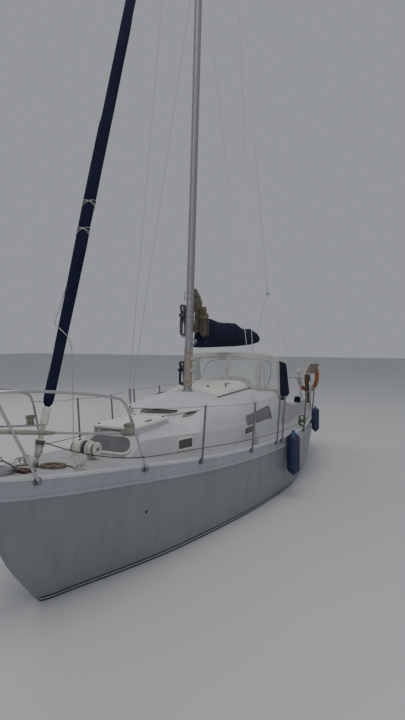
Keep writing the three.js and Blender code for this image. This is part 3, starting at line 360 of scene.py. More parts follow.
# Materials
class Look:
    """A material in the making: nodes whose inputs are values or other nodes' outputs."""

    def __init__(self, name, **fixed):
        self.material = bpy.data.materials.new(name)
        self.material.use_nodes = True
        self.nodes, self.links = self.material.node_tree.nodes, self.material.node_tree.links
        self.shader = self.nodes["Principled BSDF"]
        for socket, value in fixed.items():
            self.shader.inputs[socket.replace("_", " ")].default_value = value

    def node(self, kind, inputs=(), **settings):
        made = self.nodes.new("ShaderNode" + kind)
        for key, value in settings.items():
            setattr(made, key, value)
        for socket, value in dict(inputs).items():
            if isinstance(value, bpy.types.NodeSocket):
                self.links.new(value, made.inputs[socket])
            else:
                made.inputs[socket].default_value = value
        return made.outputs

    def noise(self, scale, detail=6.0, rough=0.55, stretch=(1, 1, 1)):
        """Object-space noise, as one number."""
        place = self.node("TexCoord")["Object"]
        place = self.node("Mapping", {"Scale": stretch, "Vector": place})["Vector"]
        return self.node("TexNoise", {"Scale": scale, "Detail": detail, "Roughness": rough,
                                      "Vector": place})["Fac"]

    def wave(self, length, direction, distortion):
        place = self.node("TexCoord")["Object"]
        return self.node("TexWave", {"Scale": length / math.tau, "Distortion": distortion, "Vector": place},
                         bands_direction=direction)["Fac"]

    def level(self, value, low, high, out_low=0.0, out_high=1.0):
        return self.node("MapRange", {"Value": value, "From Min": low, "From Max": high, "To Min": out_low,
                                      "To Max": out_high})["Result"]

    def mix(self, share, a, b):
        a, b = [(*c, 1) if isinstance(c, tuple) else c for c in (a, b)]
        return self.node("Mix", {"Factor": share, 6: a, 7: b}, data_type="RGBA")[2]

    def bump(self, height, strength, distance):
        normal = self.shader.inputs["Normal"]
        inputs = {"Strength": strength, "Distance": distance, "Height": height}
        if normal.is_linked:
            inputs["Normal"] = normal.links[0].from_socket
        self.links.new(self.node("Bump", inputs)["Normal"], normal)

    def paint(self, colour, rough=None):
        self.links.new(colour, self.shader.inputs["Base Color"])
        if rough:
            self.links.new(rough, self.shader.inputs["Roughness"])
        return self.material


def gelcoat(name, base, stain, rough=0.38, stain_at=(0.5, 0.78), grit=False, streak=True):
    """Aged glass-fibre: clouded colour, dirt run down by rain, and fine pits or non-slip grit."""
    look = Look(name)
    cloud, fine = look.noise(2.1), look.noise(170.0, 3.0)
    run = look.noise(9.0, 5.0, 0.6, (1, 1, 0.12) if streak else (1, 1, 1))
    colour = look.mix(look.level(cloud, 0.35, 0.7), base, tuple(c * 0.9 for c in base))
    colour = look.mix(look.level(run, *stain_at, 0.0, 0.55), colour, stain)
    look.bump(cloud, 0.25, 0.004)
    look.bump(fine, 0.3 if grit else 0.08, 0.0012 if grit else 0.0004)
    return look.paint(colour, look.level(run, 0.3, 0.8, rough, rough + 0.22))


def metal(name, base, rough, tarnish, amount=0.35, metallic=1.0, brushed=(1, 1, 1)):
    look = Look(name, Metallic=metallic)
    spots, lines = look.noise(26.0, 7.0, 0.65), look.noise(300.0, 2.0, 0.5, brushed)
    look.bump(lines, 0.12, 0.0004)
    look.bump(spots, 0.15, 0.0008)
    return look.paint(look.mix(look.level(spots, 0.5, 0.78, 0.0, amount), base, tarnish),
                      look.level(spots, 0.3, 0.8, rough, rough + 0.3))


def canvas(name, base, faded, weave=900.0, sheen=0.3):
    """Woven acrylic cloth: two crossed wave textures for the weave, fading and soft creases."""
    look = Look(name, Roughness=0.93, Sheen_Weight=sheen, Specular_IOR_Level=0.3)
    for axis in ("X", "Z"):
        look.bump(look.wave(weave, axis, 0.4), 0.25, 0.0006)
    look.bump(look.noise(13.0, 4.0, 0.55, (1, 1, 0.35)), 0.5, 0.012)
    return look.paint(look.mix(look.level(look.noise(3.4, 5.0), 0.35, 0.75), base, faded))


def timber(name, base, dark, grey, worn=0.4):
    look = Look(name)
    grain, wear = look.noise(42.0, 8.0, 0.6, (0.07, 1, 1)), look.noise(5.0, 6.0)
    look.bump(grain, 0.4, 0.0015)
    colour = look.mix(look.level(grain, 0.35, 0.6), dark, base)
    return look.paint(look.mix(look.level(wear, 0.45, 0.75, 0.0, worn), colour, grey),
                      look.level(wear, 0.3, 0.8, 0.45, 0.85))


def plastic(name, base, rough=0.45, dirt=(0.2, 0.19, 0.16), amount=0.3, scale=14.0):
    look = Look(name)
    spots = look.noise(scale, 6.0, 0.6)
    look.bump(spots, 0.15, 0.001)
    return look.paint(look.mix(look.level(spots, 0.48, 0.8, 0.0, amount), base, dirt),
                      look.level(spots, 0.3, 0.8, rough, rough + 0.25))


def rope_material(name, base, dark, lay=260.0):
    """Laid rope: diagonal strands from a wave texture, painted shade in the grooves between them, and
    random dirt.
    """
    look = Look(name, Roughness=0.95)
    strands = look.wave(lay, "DIAGONAL", 1.2)
    look.bump(strands, 0.8, 0.002)
    # Painted shade: colour darkens in the grooves between the strands.
    colour = look.mix(look.level(strands, 0.1, 0.8), dark, base)
    return look.paint(look.mix(look.level(look.noise(30.0, 5.0), 0.5, 0.8, 0.0, 0.6), colour, dark))


def glass(name, tint, rough=0.06, see=0.35, haze=(0.4, 0.4, 0.4)):
    """Smoked or clear plastic pane: mostly mirror and tint, with a weathered haze."""
    look = Look(name, Alpha=1 - see, Specular_IOR_Level=0.6)
    cloud = look.noise(7.0, 6.0)
    look.bump(cloud, 0.2, 0.004)
    return look.paint(look.mix(look.level(cloud, 0.4, 0.8, 0.0, 0.4), tint, haze),
                      look.level(cloud, 0.3, 0.8, rough, rough + 0.2))


# Painted shade: the hull's white gelcoat sides are coloured dark grey because the port side stands in
# shade.
SHADED_TOPSIDES = gelcoat("topsides", (0.24, 0.25, 0.265), (0.18, 0.183, 0.185), 0.30)
# Sheer band: partly its own blue-grey, partly painted shade of the shaded hull side.
SHADED_SHEER_BAND = gelcoat("sheer_band", (0.36, 0.375, 0.415), (0.27, 0.275, 0.285), 0.34)
DECK = gelcoat("deck", (0.38, 0.38, 0.39), (0.26, 0.245, 0.21), 0.55, (0.52, 0.82), True, False)
HOUSE = gelcoat("house", (0.55, 0.555, 0.575), (0.42, 0.40, 0.36), 0.42, (0.55, 0.85))
CREAM = gelcoat("cream_moulding", (0.70, 0.69, 0.63), (0.40, 0.37, 0.30), 0.45, (0.55, 0.85), False, False)
ANTIFOUL = plastic("antifouling", (0.018, 0.024, 0.045), 0.75, (0.05, 0.06, 0.045), 0.6, 6.0)
BOOT_NAVY = plastic("boot_line", (0.02, 0.03, 0.09), 0.4, (0.08, 0.08, 0.09), 0.3)
LINE_WHITE = plastic("white_line", (0.6, 0.6, 0.58), 0.45, (0.3, 0.3, 0.27), 0.5)
STEEL = metal("stainless", (0.56, 0.56, 0.56), 0.22, (0.24, 0.20, 0.15), 0.5)
ALLOY = metal("anodised", (0.36, 0.36, 0.37), 0.48, (0.20, 0.19, 0.18), 0.5, 0.85, (1, 1, 0.02))
IRON = metal("galvanised", (0.16, 0.16, 0.17), 0.62, (0.16, 0.07, 0.03), 0.6, 0.6)
BRONZE = metal("bronze", (0.42, 0.29, 0.13), 0.4, (0.10, 0.16, 0.12), 0.6)
NAVY = canvas("navy_canvas", (0.005, 0.007, 0.030), (0.010, 0.013, 0.045), 900.0, 0.0)
PALE_CANVAS = canvas("pale_canvas", (0.46, 0.455, 0.43), (0.36, 0.35, 0.325), 900.0, 0.0)
TAN_CANVAS = canvas("tan_canvas", (0.17, 0.152, 0.12), (0.11, 0.095, 0.07), 600.0, 0.1)
BROWN_CANVAS = canvas("brown_canvas", (0.13, 0.085, 0.05), (0.075, 0.05, 0.03), 600.0, 0.1)
ORANGE_CLOTH = canvas("orange_cloth", (0.36, 0.12, 0.04), (0.20, 0.09, 0.05), 500.0, 0.1)
CLEAR = glass("clear_vinyl", (0.66, 0.68, 0.68), 0.12, 0.66, (0.62, 0.62, 0.60))
SMOKED = glass("smoked_acrylic", (0.065, 0.067, 0.072), 0.10, 0.12, (0.16, 0.16, 0.16))
# Painted reflection: the side and forward panes are dark acrylic, coloured light grey where it reflects.
REFLECTING_ACRYLIC = glass("acrylic_painted_reflection", (0.16, 0.16, 0.17), 0.16, 0.06, (0.24, 0.24, 0.25))
SEAL = plastic("window_seal", (0.16, 0.16, 0.165), 0.7, (0.26, 0.25, 0.23), 0.5)
WOOD = timber("hardwood", (0.26, 0.13, 0.055), (0.11, 0.05, 0.022), (0.26, 0.22, 0.18))
GREY_WOOD = timber("weathered_plank", (0.25, 0.21, 0.17), (0.13, 0.105, 0.085), (0.30, 0.27, 0.24), 0.6)
BLACK = plastic("black_plastic", (0.015, 0.015, 0.016), 0.5, (0.1, 0.1, 0.1), 0.3)
WHITE_METAL = plastic("white_enamel", (0.62, 0.61, 0.56), 0.4, (0.22, 0.17, 0.10), 0.55, 20.0)
NAVY_VINYL = plastic("navy_vinyl", (0.014, 0.022, 0.075), 0.4, (0.10, 0.11, 0.13), 0.45, 9.0)
BLUE_VINYL = plastic("blue_vinyl", (0.02, 0.08, 0.26), 0.4, (0.10, 0.12, 0.15), 0.4, 9.0)
TAN_ROPE = rope_material("tan_rope", (0.30, 0.26, 0.19), (0.09, 0.07, 0.045))
# Strake: the sheer band's tone, its own blue-grey darkened by painted shade.
SHADED_STRAKE = gelcoat("strake", (0.36, 0.37, 0.41), (0.25, 0.25, 0.25), 0.4)
DARK_STEEL = metal("dull_steel", (0.24, 0.24, 0.25), 0.42, (0.12, 0.09, 0.06), 0.5, 0.9)
LENS = plastic("lamp_lens", (0.30, 0.27, 0.22), 0.25, (0.2, 0.17, 0.12), 0.4, 12.0)
DARK_ROPE = rope_material("dark_rope", (0.05, 0.05, 0.06), (0.015, 0.015, 0.02))
WIRE = metal("wire_rope", (0.42, 0.42, 0.42), 0.35, (0.20, 0.16, 0.12), 0.5, 1.0, (1, 1, 0.4))
BINDING = canvas("binding", (0.60, 0.60, 0.57), (0.42, 0.41, 0.38), 900.0, 0.1)
DRUM = plastic("drum_plastic", (0.42, 0.41, 0.34), 0.5, (0.16, 0.15, 0.10), 0.6, 18.0)
WHITE_ROPE = rope_material("white_rope", (0.60, 0.58, 0.53), (0.28, 0.26, 0.22))
GREY_ROPE = rope_material("grey_rope", (0.16, 0.16, 0.17), (0.06, 0.06, 0.065))
NAVY_ROPE = rope_material("navy_rope", (0.02, 0.03, 0.09), (0.008, 0.01, 0.03))
RAIL_WRAP = canvas("rail_wrap", (0.38, 0.355, 0.31), (0.20, 0.175, 0.14), 500.0, 0.0)
MAST_WRAP = plastic("mast_wrap", (0.34, 0.31, 0.26), 0.85, (0.11, 0.075, 0.045), 0.95, 22.0)
RED_MAT = canvas("bow_mat_cloth", (0.10, 0.035, 0.03), (0.06, 0.03, 0.028), 300.0, 0.0)
ENGINE_PAINT = plastic("engine_paint", (0.10, 0.13, 0.12), 0.5, (0.05, 0.04, 0.03), 0.5)
LAMP_HOUSING = plastic("lamp_housing", (0.20, 0.19, 0.17), 0.55, (0.10, 0.09, 0.07), 0.5, 18.0)
GREEN_ROPE = rope_material("green_rope", (0.16, 0.22, 0.10), (0.05, 0.07, 0.04))


# Floor at the waterline, soft light and the photograph's camera
def build_stage():
    scene = bpy.context.scene
    cam = bpy.data.cameras.new("camera")
    cam.sensor_width = SENSOR_MM
    cam.lens = FOCAL_PX * SENSOR_MM / PHOTO_HIGH
    cam.shift_y = (HORIZON_ROW - PHOTO_HIGH / 2) / PHOTO_HIGH
    cam.clip_end = 200
    obj = bpy.data.objects.new("camera", cam)
    scene.collection.objects.link(obj)
    obj.location = EYE
    obj.rotation_euler = LOOK.to_track_quat("-Z", "Y").to_euler()
    scene.camera = obj

    pale = Look("pale_floor", Base_Color=(0.56, 0.565, 0.57, 1), Roughness=0.85).material
    corners = [(x * FLOOR_HALF, y * FLOOR_HALF, 0) for x, y in ((-1, -1), (1, -1), (1, 1), (-1, 1))]
    floor = new_object("floor", corners, [(0, 1, 2, 3)], pale, body=None)

    world = bpy.data.worlds.new("world")
    scene.world = world
    world.use_nodes = True
    sky = world.node_tree.nodes["Background"]
    sky.inputs["Color"].default_value, sky.inputs["Strength"].default_value = SKY
    for name, place, aim, size, watts in LAMPS:
        lamp = bpy.data.lights.new(name, "AREA")
        lamp.size = size
        lamp.energy = watts
        obj = bpy.data.objects.new(name, lamp)
        scene.collection.objects.link(obj)
        obj.location = place
        obj.rotation_euler = (Vector(aim) - Vector(place)).to_track_quat("-Z", "Y").to_euler()


# Lamps: name, place, aim, size, watts
LAMPS = [
    ("overhead", (3.0, 2.0, 19.0), (0, 0, 1), 12.0, 950),
    ("port_bow", (11.0, 9.0, 8.0), (0, 0, 1), 7.0, 260),
    ("starboard", (-4.0, -12.0, 9.0), (0, 0, 1), 8.0, 300),
]
build_stage()


# Hull
def hull_rows(aft):
    s = hull_at(aft)
    ys, zs = side_curve(aft)
    under = [s["keel"] + (ANTIFOUL_TOP - s["keel"]) * (1 - math.cos(k * math.pi / 20)) for k in range(10)]
    topside = [BOOT_TOP + (band_z(aft) - BOOT_TOP) * k / 12 for k in range(13)]
    band = [band_z(aft) + (s["deck"] - band_z(aft)) * k / 3 for k in (1, 2, 3)]
    levels = under + [ANTIFOUL_TOP, WHITE_LINE_TOP] + topside + band
    slots = [0] * 10 + [1] + [2] + [3] * 12 + [4] * 3
    points = []
    for z in levels:
        z = max(z, s["keel"])
        points.append((float(np.interp(z, zs, ys)) if z > s["keel"] else 0.0, z))
    for k in range(1, 9):
        y = s["half"] * (1 - k / 8)
        points.append((y, deck_z(aft, y)))
        slots.append(5)
    return points, slots


def build_hull():
    afts = [HULL_FORE + 0.055 * k for k in range(14)] + list(np.linspace(0.1, TRANSOM, 74))
    rings, half_slots = [], None
    for aft in afts:
        points, half_slots = hull_rows(aft)
        top = hull_at(aft)["deck"]
        lean = TRANSOM_RAKE if aft == afts[-1] else 0.0
        port = [Vector((STEM_X - aft + lean * (top - z), y, z)) for y, z in points]
        rings.append(port + flip(port[-2:0:-1], -1))
    n = len(rings[0])
    slots = (half_slots + half_slots[::-1]) * (len(rings) - 1) + [4, 3]
    verts = [p for ring in rings for p in ring]
    return new_object("hull_shell", verts, ring_faces(len(rings), n),
                      [ANTIFOUL, LINE_WHITE, BOOT_NAVY, SHADED_TOPSIDES, SHADED_SHEER_BAND, DECK], slots, 30)


COAMING = [(4.772, 0.905, 1.290), (5.35, 0.897, 1.140), (6.95, 0.800, 1.060)]
FLOORS = {"sole": -0.20, "berth": 0.23, "forepeak": 0.35, "seat": 0.69, "footwell": 0.33}
TALL = 2.0


# Hollows of cabin and cockpit: floor, and the port half of the outline as aft and y
HOLLOWS = [
    ("sole", [(2.08, 0.38), (4.64, 0.38)]),
    ("berth", [(2.08, 0.54), (2.90, 0.74), (4.64, 0.79)]),
    ("forepeak", [(1.18, 0.29), (2.085, 0.50)]),
    ("footwell", [(4.98, 0.33), (6.73, 0.33)]),
    ("seat", [(4.98, 0.83), (6.88, 0.74)]),
]


def hollow(floor, port):
    outline = port + [(a, -y) for a, y in reversed(port)]
    return loft("t", [[at(a, y, z) for a, y in outline] for z in (FLOORS[floor], TALL)], DECK, body=None)


def coaming(sign):
    rings = []
    for aft, half, top in COAMING:
        rings.append([at(aft, sign * (half - 0.06), 0.78), at(aft, sign * (half + 0.08), 0.78),
                      at(aft, sign * (half + 0.045), top - 0.02), at(aft, sign * (half + 0.03), top),
                      at(aft, sign * (half - 0.02), top), at(aft, sign * (half - 0.035), top - 0.02)])
    return loft("coaming", rings, DECK, body=None)


hull = build_hull()
for sign in (1, -1):
    cut(hull, coaming(sign), "UNION")
for floor, port in HOLLOWS:
    cut(hull, hollow(floor, port))
bevel(hull, 0.008, 2, 55)
shade(hull, 30)
stands_for(hull, "hull_gelcoat", "hull")

# Coachroof and deckhouse as one moulding. Rows: aft, half width at the foot, half width at the
# top edge, height of that edge, of the roof's middle and of the knuckle in the side.
HOUSE_ROWS = [
    (0.985, 0.300, 0.290, 1.075, 1.085, 1.050),
    (1.110, 0.385, 0.350, 1.250, 1.312, 1.235),
    (1.550, 0.500, 0.455, 1.232, 1.305, 1.217),
    (2.000, 0.611, 0.561, 1.206, 1.328, 1.185),
    (2.260, 0.690, 0.635, 1.395, 1.505, 1.163),
    (2.900, 0.838, 0.775, 1.408, 1.570, 1.133),
    (4.050, 0.915, 0.850, 1.425, 1.578, 1.062),
    (4.760, 0.905, 0.842, 1.415, 1.562, 1.050),
]
HOUSE_FORE, HOUSE_END = 0.985, 4.76
SOFTEN, SOFTEN_FORE, FORE_FACE = 0.025, 0.008, 1.30
HOUSE_WALL, HOUSE_FOOT_Z = 0.035, 0.60
KNUCKLE_IN = 0.012
SHOULDER_OUT, SHOULDER_BELOW, SHOULDER_SHARE = 0.022, 0.160, 0.45


def house_row(aft):
    """The rows' values at a place along the boat, with their corners softened."""
    soft = SOFTEN_FORE if aft < FORE_FACE else SOFTEN
    near = [min(max(aft + d, HOUSE_FORE), HOUSE_END) for d in np.linspace(-soft, soft, 9)]
    return row_at(HOUSE_ROWS, aft if aft == HOUSE_END else near)


def house_profile(aft, inset=0.0):
    """Port half of a section through the house, from the foot over the knuckle to the roof's middle."""
    foot, edge_half, edge_z, crown, knuckle = house_row(aft)
    rise = crown - edge_z
    out = min(SHOULDER_OUT, (edge_z - knuckle) / 2)
    shoulder = Vector((edge_half + out,
                       max(edge_z - SHOULDER_BELOW, knuckle + (edge_z - knuckle) * SHOULDER_SHARE)))
    roof = [Vector(((edge_half - 0.022) * (1 - u), edge_z + rise * (1 - (1 - u) ** 2)))
            for u in np.linspace(0.1, 1, 9)]
    crease = Vector((foot - KNUCKLE_IN, knuckle))
    base = Vector((foot, HOUSE_FOOT_Z))
    points = [base, crease.lerp(base, 0.02), crease, crease.lerp(shoulder, 0.12)]
    p0, p1 = shoulder.lerp(crease, 0.4), shoulder
    p2, p3 = Vector((edge_half - 0.016, edge_z + 0.002)), roof[0]
    points += [p0 * (1 - u) ** 3 + p1 * 3 * u * (1 - u) ** 2 + p2 * 3 * u * u * (1 - u) + p3 * u ** 3
               for u in np.linspace(0, 0.86, 7)]
    points += roof
    return [Vector((max(p.x - inset, 0) if p.x else 0, p.y - (inset if p.y > HOUSE_FOOT_Z else 0)))
            for p in points]


def house_loft(name, afts, inset, used):
    rings = [across([at(aft, p.x, p.y) for p in house_profile(aft, inset)]) for aft in afts]
    return loft(name, rings, used, body=None)


def house_side(aft, z, out=0.0):
    """Half width of the house's side at a height, moved out by a distance."""
    return row_at([(p.y, p.x) for p in house_profile(aft)], z)[0] + out


def roof_z(aft, y):
    return row_at([p for p in house_profile(aft) if p.y > 0.9][::-1], abs(y))[0]


# Openings: side ones as aft and height, front ones as y and height
COMPANIONWAY_HALF = 0.275
HATCH_HOLE = {"afts": (1.19, 1.89), "half": 0.225}
SIDE_WINDOW = [(3.150, 1.112), (3.155, 1.232), (3.550, 1.240), (4.103, 1.273), (4.180, 1.075)]
FRONT_WINDOW = [(0.345, 1.342), (0.372, 1.388), (0.500, 1.426), (0.512, 1.412), (0.462, 1.358),
                (0.400, 1.337)]
CENTRE_WINDOW = [(-0.255, 1.362), (-0.245, 1.421), (0.270, 1.421), (0.258, 1.374)]
PORTLIGHT = [(1.665, 1.047), (1.665, 1.147), (1.905, 1.142), (1.905, 1.038)]
LOW_LIGHT = [(3.045, 1.000), (3.050, 1.086), (3.440, 1.080), (3.445, 0.996)]


def rounded(corners, radius, steps=5):
    """A polygon of 2-D corners with each corner rounded."""
    out = []
    n = len(corners)
    for i in range(n):
        p, a, b = (Vector(corners[i]), Vector(corners[i - 1]), Vector(corners[(i + 1) % n]))
        r = min(radius, (a - p).length / 2.2, (b - p).length / 2.2)
        p0, p1 = p + (a - p).normalized() * r, p + (b - p).normalized() * r
        out += [p0 * (1 - u) ** 2 + p * 2 * u * (1 - u) + p1 * u * u for u in np.linspace(0, 1, steps)]
    return out


def grown(outline, by):
    """A 2-D outline moved out along its normals."""
    n = len(outline)
    area = sum(a.x * b.y - b.x * a.y for a, b in zip(outline, outline[1:] + outline[:1]))
    turn = 1 if area > 0 else -1
    out = []
    for i in range(n):
        along = (outline[(i + 1) % n] - outline[i - 1]).normalized()
        out.append(outline[i] + Vector((along.y, -along.x)) * by * turn)
    return out


def pane(name, outline, place, front=-0.006, thick=0.008, used=None):
    """A pane that follows the surface: rings drawn in towards its middle, with a back."""
    mid = sum(outline, Vector((0, 0))) / len(outline)
    shrink = lambda share: [mid.lerp(p, share) for p in outline]
    rings = [[place(p, front - thick) for p in shrink(share)] for share in (0.02, 0.35, 0.7, 1)]
    rings += [[place(p, front) for p in shrink(share)] for share in (1, 0.85, 0.7, 0.52, 0.35, 0.18, 0.02)]
    return loft(name, rings, used or SMOKED, smooth=25)


def frame_ring(name, outline, place, used, width, proud, back):
    """A flat frame round an outline; place(point, out) sets a 2-D point on the surface."""
    wide = grown(outline, width)
    mid = grown(outline, width * 0.5)
    section = [(outline, back), (outline, proud * 0.7), (mid, proud), (wide, proud * 0.5), (wide, back)]
    n = len(outline)
    verts = [place(p, d) for ring, d in section for p in ring]
    faces = []
    for r in range(len(section)):
        for i in range(n):
            j = (i + 1) % n
            a, b = r * n, ((r + 1) % len(section)) * n
            faces.append((a + i, a + j, b + j, b + i))
    return new_object(name, verts, faces, used, smooth=30)


FACE_AFT = (0.985, 1.110)


def on_face(p, out):
    """A point of the coachroof's sloping front: p is (y, share of the way up)."""
    aft = FACE_AFT[0] + (FACE_AFT[1] - FACE_AFT[0]) * p.y
    _, edge_half, edge_z, crown, _ = house_row(aft)
    return at(aft - out * 0.82, p.x, edge_z + (crown - edge_z) * (1 - (p.x / edge_half) ** 2) + out * 0.57)


def on_front(p, out, sign=1):
    """A point of the deckhouse's sloping front: p is (y, z)."""
    afts = np.linspace(1.98, 2.34, 60)
    zs = [roof_z(a, p.x) for a in afts]
    aft = float(np.interp(p.y, zs, afts))
    return at(aft - out * 0.85, sign * p.x, p.y + out * 0.5)


def build_house():
    afts = sorted(set([HOUSE_END] + [round(HOUSE_FORE + 0.010 * k, 4) for k in range(18)]
                      + [round(1.20 + 0.045 * k, 4) for k in range(79)] + [round(c + d, 4)
            for c in (2.0, 2.26) for d in np.linspace(-0.04, 0.04, 9)]))
    shell = house_loft("house_shell", afts, 0.0, HOUSE)
    inner = [a for a in afts if 1.06 < a < 4.725]
    cut(shell, house_loft("t", inner, HOUSE_WALL, HOUSE))
    for sign in (1, -1):
        cut_side(shell, rounded(SIDE_WINDOW, 0.05), sign, (0.5, 1.1))
        cut_ahead(shell, rounded(FRONT_WINDOW, 0.02), (1.9, 2.32), sign)
    cut_ahead(shell, rounded(CENTRE_WINDOW, 0.02), (1.9, 2.32))
    cut_box(shell, (4.6, 4.9), COMPANIONWAY_HALF, (1.0, 1.8))
    cut_box(shell, (4.35, 4.9), COMPANIONWAY_HALF, (1.45, 1.8))
    cut_box(shell, HATCH_HOLE["afts"], HATCH_HOLE["half"], (0.9, 1.6))
    shade(shell, 26)
    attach(shell, "root")
    stands_for(shell, "deck_gelcoat", "coachroof", "deckhouse")
    return shell


def build_windows():
    def glaze(obj, node):
        stands_for(obj, "glazing", node)

    for side, sign in SIDES.items():
        on_side = lambda p, d: at(p.x, sign * house_side(p.x, p.y, d), p.y)
        on_leaf = lambda p, d: on_front(p, d, sign)
        side_cut, leaf = rounded(SIDE_WINDOW, 0.05), rounded(FRONT_WINDOW, 0.02)
        glaze(pane("side_pane_" + side, side_cut, on_side, used=REFLECTING_ACRYLIC), "window_side_" + side)
        frame_ring("side_gasket_" + side, side_cut, on_side, SEAL, 0.010, 0.004, -0.016)
        glaze(pane("front_pane_" + side, leaf, on_leaf), "window_front_" + side)
        frame_ring("front_gasket_" + side, leaf, on_leaf, WHITE_METAL, 0.014, 0.006, -0.014)
        for label, corners, width in (("portlight", PORTLIGHT, 0.022), ("low_light", LOW_LIGHT, 0.010)):
            light = rounded(corners, 0.02)
            pane(label + "_pane_" + side, light, on_side, 0.002)
            frame_ring(label + "_frame_" + side, light, on_side, WHITE_METAL, width, 0.011, -0.004)
    strip_light = rounded(CENTRE_WINDOW, 0.02)
    glaze(pane("centre_pane", strip_light, on_front), "window_front_centre")
    frame_ring("centre_gasket", strip_light, on_front, WHITE_METAL, 0.014, 0.006, -0.014)
    capsule = [Vector((side * 0.175 + 0.090 * math.cos(a), 0.49 + 0.34 * math.sin(a)))
               for side, start in ((1, -0.5), (-1, 0.5)) for a in np.linspace(start, start + 1,
            13) * math.pi]
    pane("forward_pane", capsule, on_face, 0.006, 0.010, REFLECTING_ACRYLIC)
    wide = [Vector((p.x * 1.09, 0.49 + (p.y - 0.49) * 1.30)) for p in capsule]
    n = len(capsule)
    section = ((capsule, -0.006), (capsule, 0.012), (wide, 0.016), (wide, -0.006))
    verts = [on_face(p, d) for ring, d in section for p in ring]
    faces = [(r * n + i, r * n + (i + 1) % n, (r + 1) % 4 * n + (i + 1) % n, (r + 1) % 4 * n + i)
             for r in range(4) for i in range(n)]
    bevel(new_object("forward_frame", verts, faces, WHITE_METAL), 0.004)


build_house()
build_windows()


# Strips along the hull
STATIONS = list(np.linspace(-0.615, 0.1, 16)) + list(np.linspace(0.2, 7.385, 70))


def strip(name, sign, ring_of, used, node):
    stands_for(loft(name, [[at(a, sign * y, z) for y, z in ring_of(a)] for a in STATIONS], used),
               "hull_gelcoat", node)


def toe_ring(aft):
    """Low moulded lip on the deck edge: outer face, rounded top, inner face and foot."""
    s = hull_at(aft)
    half, z = s["half"], s["deck"]
    inner = max(half - 0.032, 0.008)
    return [(inner, z - 0.012), (half + 0.004, z - 0.021), (half + 0.009, z - 0.010),
            (half + 0.008, z + 0.006), (half + 0.003, z + 0.014), (half - 0.006, z + 0.016),
            (max(half - 0.018, 0.010), z + 0.014), (inner, z + 0.006)]


def strake_ring(aft):
    z = band_z(aft)
    y = side_y(aft, z)
    back = [(max(side_y(aft, z + h) - 0.004, 0.003), z + h) for h in (-0.017, 0.017)]
    curve = [(y + 0.017 * math.cos(a), z + 0.016 * math.sin(a)) for a in np.linspace(1.35, -1.35, 9)]
    return [back[0], back[1]] + curve


for side, sign in SIDES.items():
    strip("toe_rail_" + side + "_cap", sign, toe_ring, HOUSE, "toe_rail_" + side)
    strip("strake_" + side, sign, strake_ring, SHADED_STRAKE, "rubbing_strake_" + side)


# Tube rails
TUBE_R = 0.0125
WIRE_R = 0.0032
BEND = 0.10


def bent(points, radius=BEND, steps=7):
    """Straight runs between the points with rounded bends."""
    pts = [Vector(p) for p in points]
    out = [pts[0]]
    for a, p, b in zip(pts, pts[1:], pts[2:]):
        r = min(radius, (a - p).length * 0.48, (b - p).length * 0.48)
        p0, p1 = p + (a - p).normalized() * r, p + (b - p).normalized() * r
        out += [p0 * (1 - u) ** 2 + p * 2 * u * (1 - u) + p1 * u * u for u in np.linspace(0, 1, steps)]
    out.append(pts[-1])
    return out


def foot(shell, aft, y):
    """Round base plate with a socket and three screws."""
    base = on_board(aft, y, -0.002)
    shell.turned(base, UP, [(0, 0.030), (0.007, 0.030), (0.010, 0.026), (0.012, 0.019), (0.034, 0.0165),
                            (0.040, 0.0140)], 20)
    for k in range(3):
        a = k * math.tau / 3 + 0.5
        shell.turned(base + Vector((0.0235 * math.cos(a), 0.0235 * math.sin(a), 0.007)), UP,
                     [(0, 0.0045), (0.003, 0.0042), (0.0045, 0.002)], 8)


# Feet outside the deck edge: a plate and a socket on the sheer band
FOOT_OUT, FOOT_HALF, FOOT_TOP, FOOT_LOW = 0.025, 0.024, 0.002, 0.054


def outer_foot(shell, aft, sign, slot):
    s = hull_at(aft)
    half, z = s["half"], s["deck"]
    shell.side_box(sign, (aft - FOOT_HALF, aft + FOOT_HALF), (half - 0.012, half + 0.012),
                   (z - FOOT_LOW, z - FOOT_TOP), slot)
    shell.side_box(sign, (aft - 0.010, aft + 0.010), (half, half + FOOT_OUT),
                   (z - FOOT_LOW + 0.004, z - FOOT_TOP - 0.004), slot)
    shell.turned(at(aft, sign * (half + FOOT_OUT), z - FOOT_LOW), UP, [
        (0, 0.012), (0.002, 0.0175), (0.046, 0.0175), (0.050, 0.0155), (0.056, 0.0140)], 16, slot)
    for dx in (-0.016, 0.016):
        for dz in (0.012, 0.040):
            shell.turned(at(aft + dx, sign * (half + 0.011), z - FOOT_LOW + dz), (0, sign, 0),
                         [(0, 0.0052), (0.004, 0.0048), (0.006, 0.002)], 8, slot)
    return at(aft, sign * (half + FOOT_OUT), z - FOOT_LOW + 0.022)


PULPIT_TOP = [(0.470, 0.558, 1.728), (0.360, 0.545, 1.776), (-0.380, 0.362, 1.898), (-0.720, 0.235, 1.920),
              (-0.890, 0.0, 1.925)]
PULPIT_FEET = (0.745, -0.340)
PULPIT_LEG_TOP = (-0.750, 0.225, 1.921)
PULPIT_MID = [(0.640, 0.598, 1.405), (-0.454, 0.255, 1.583), (-0.620, 0.170, 1.610), (-0.700, 0.0, 1.620)]
SIDELIGHT = {"aft": (0.455, 0.545), "y": (0.566, 0.640), "z": (1.418, 1.532)}


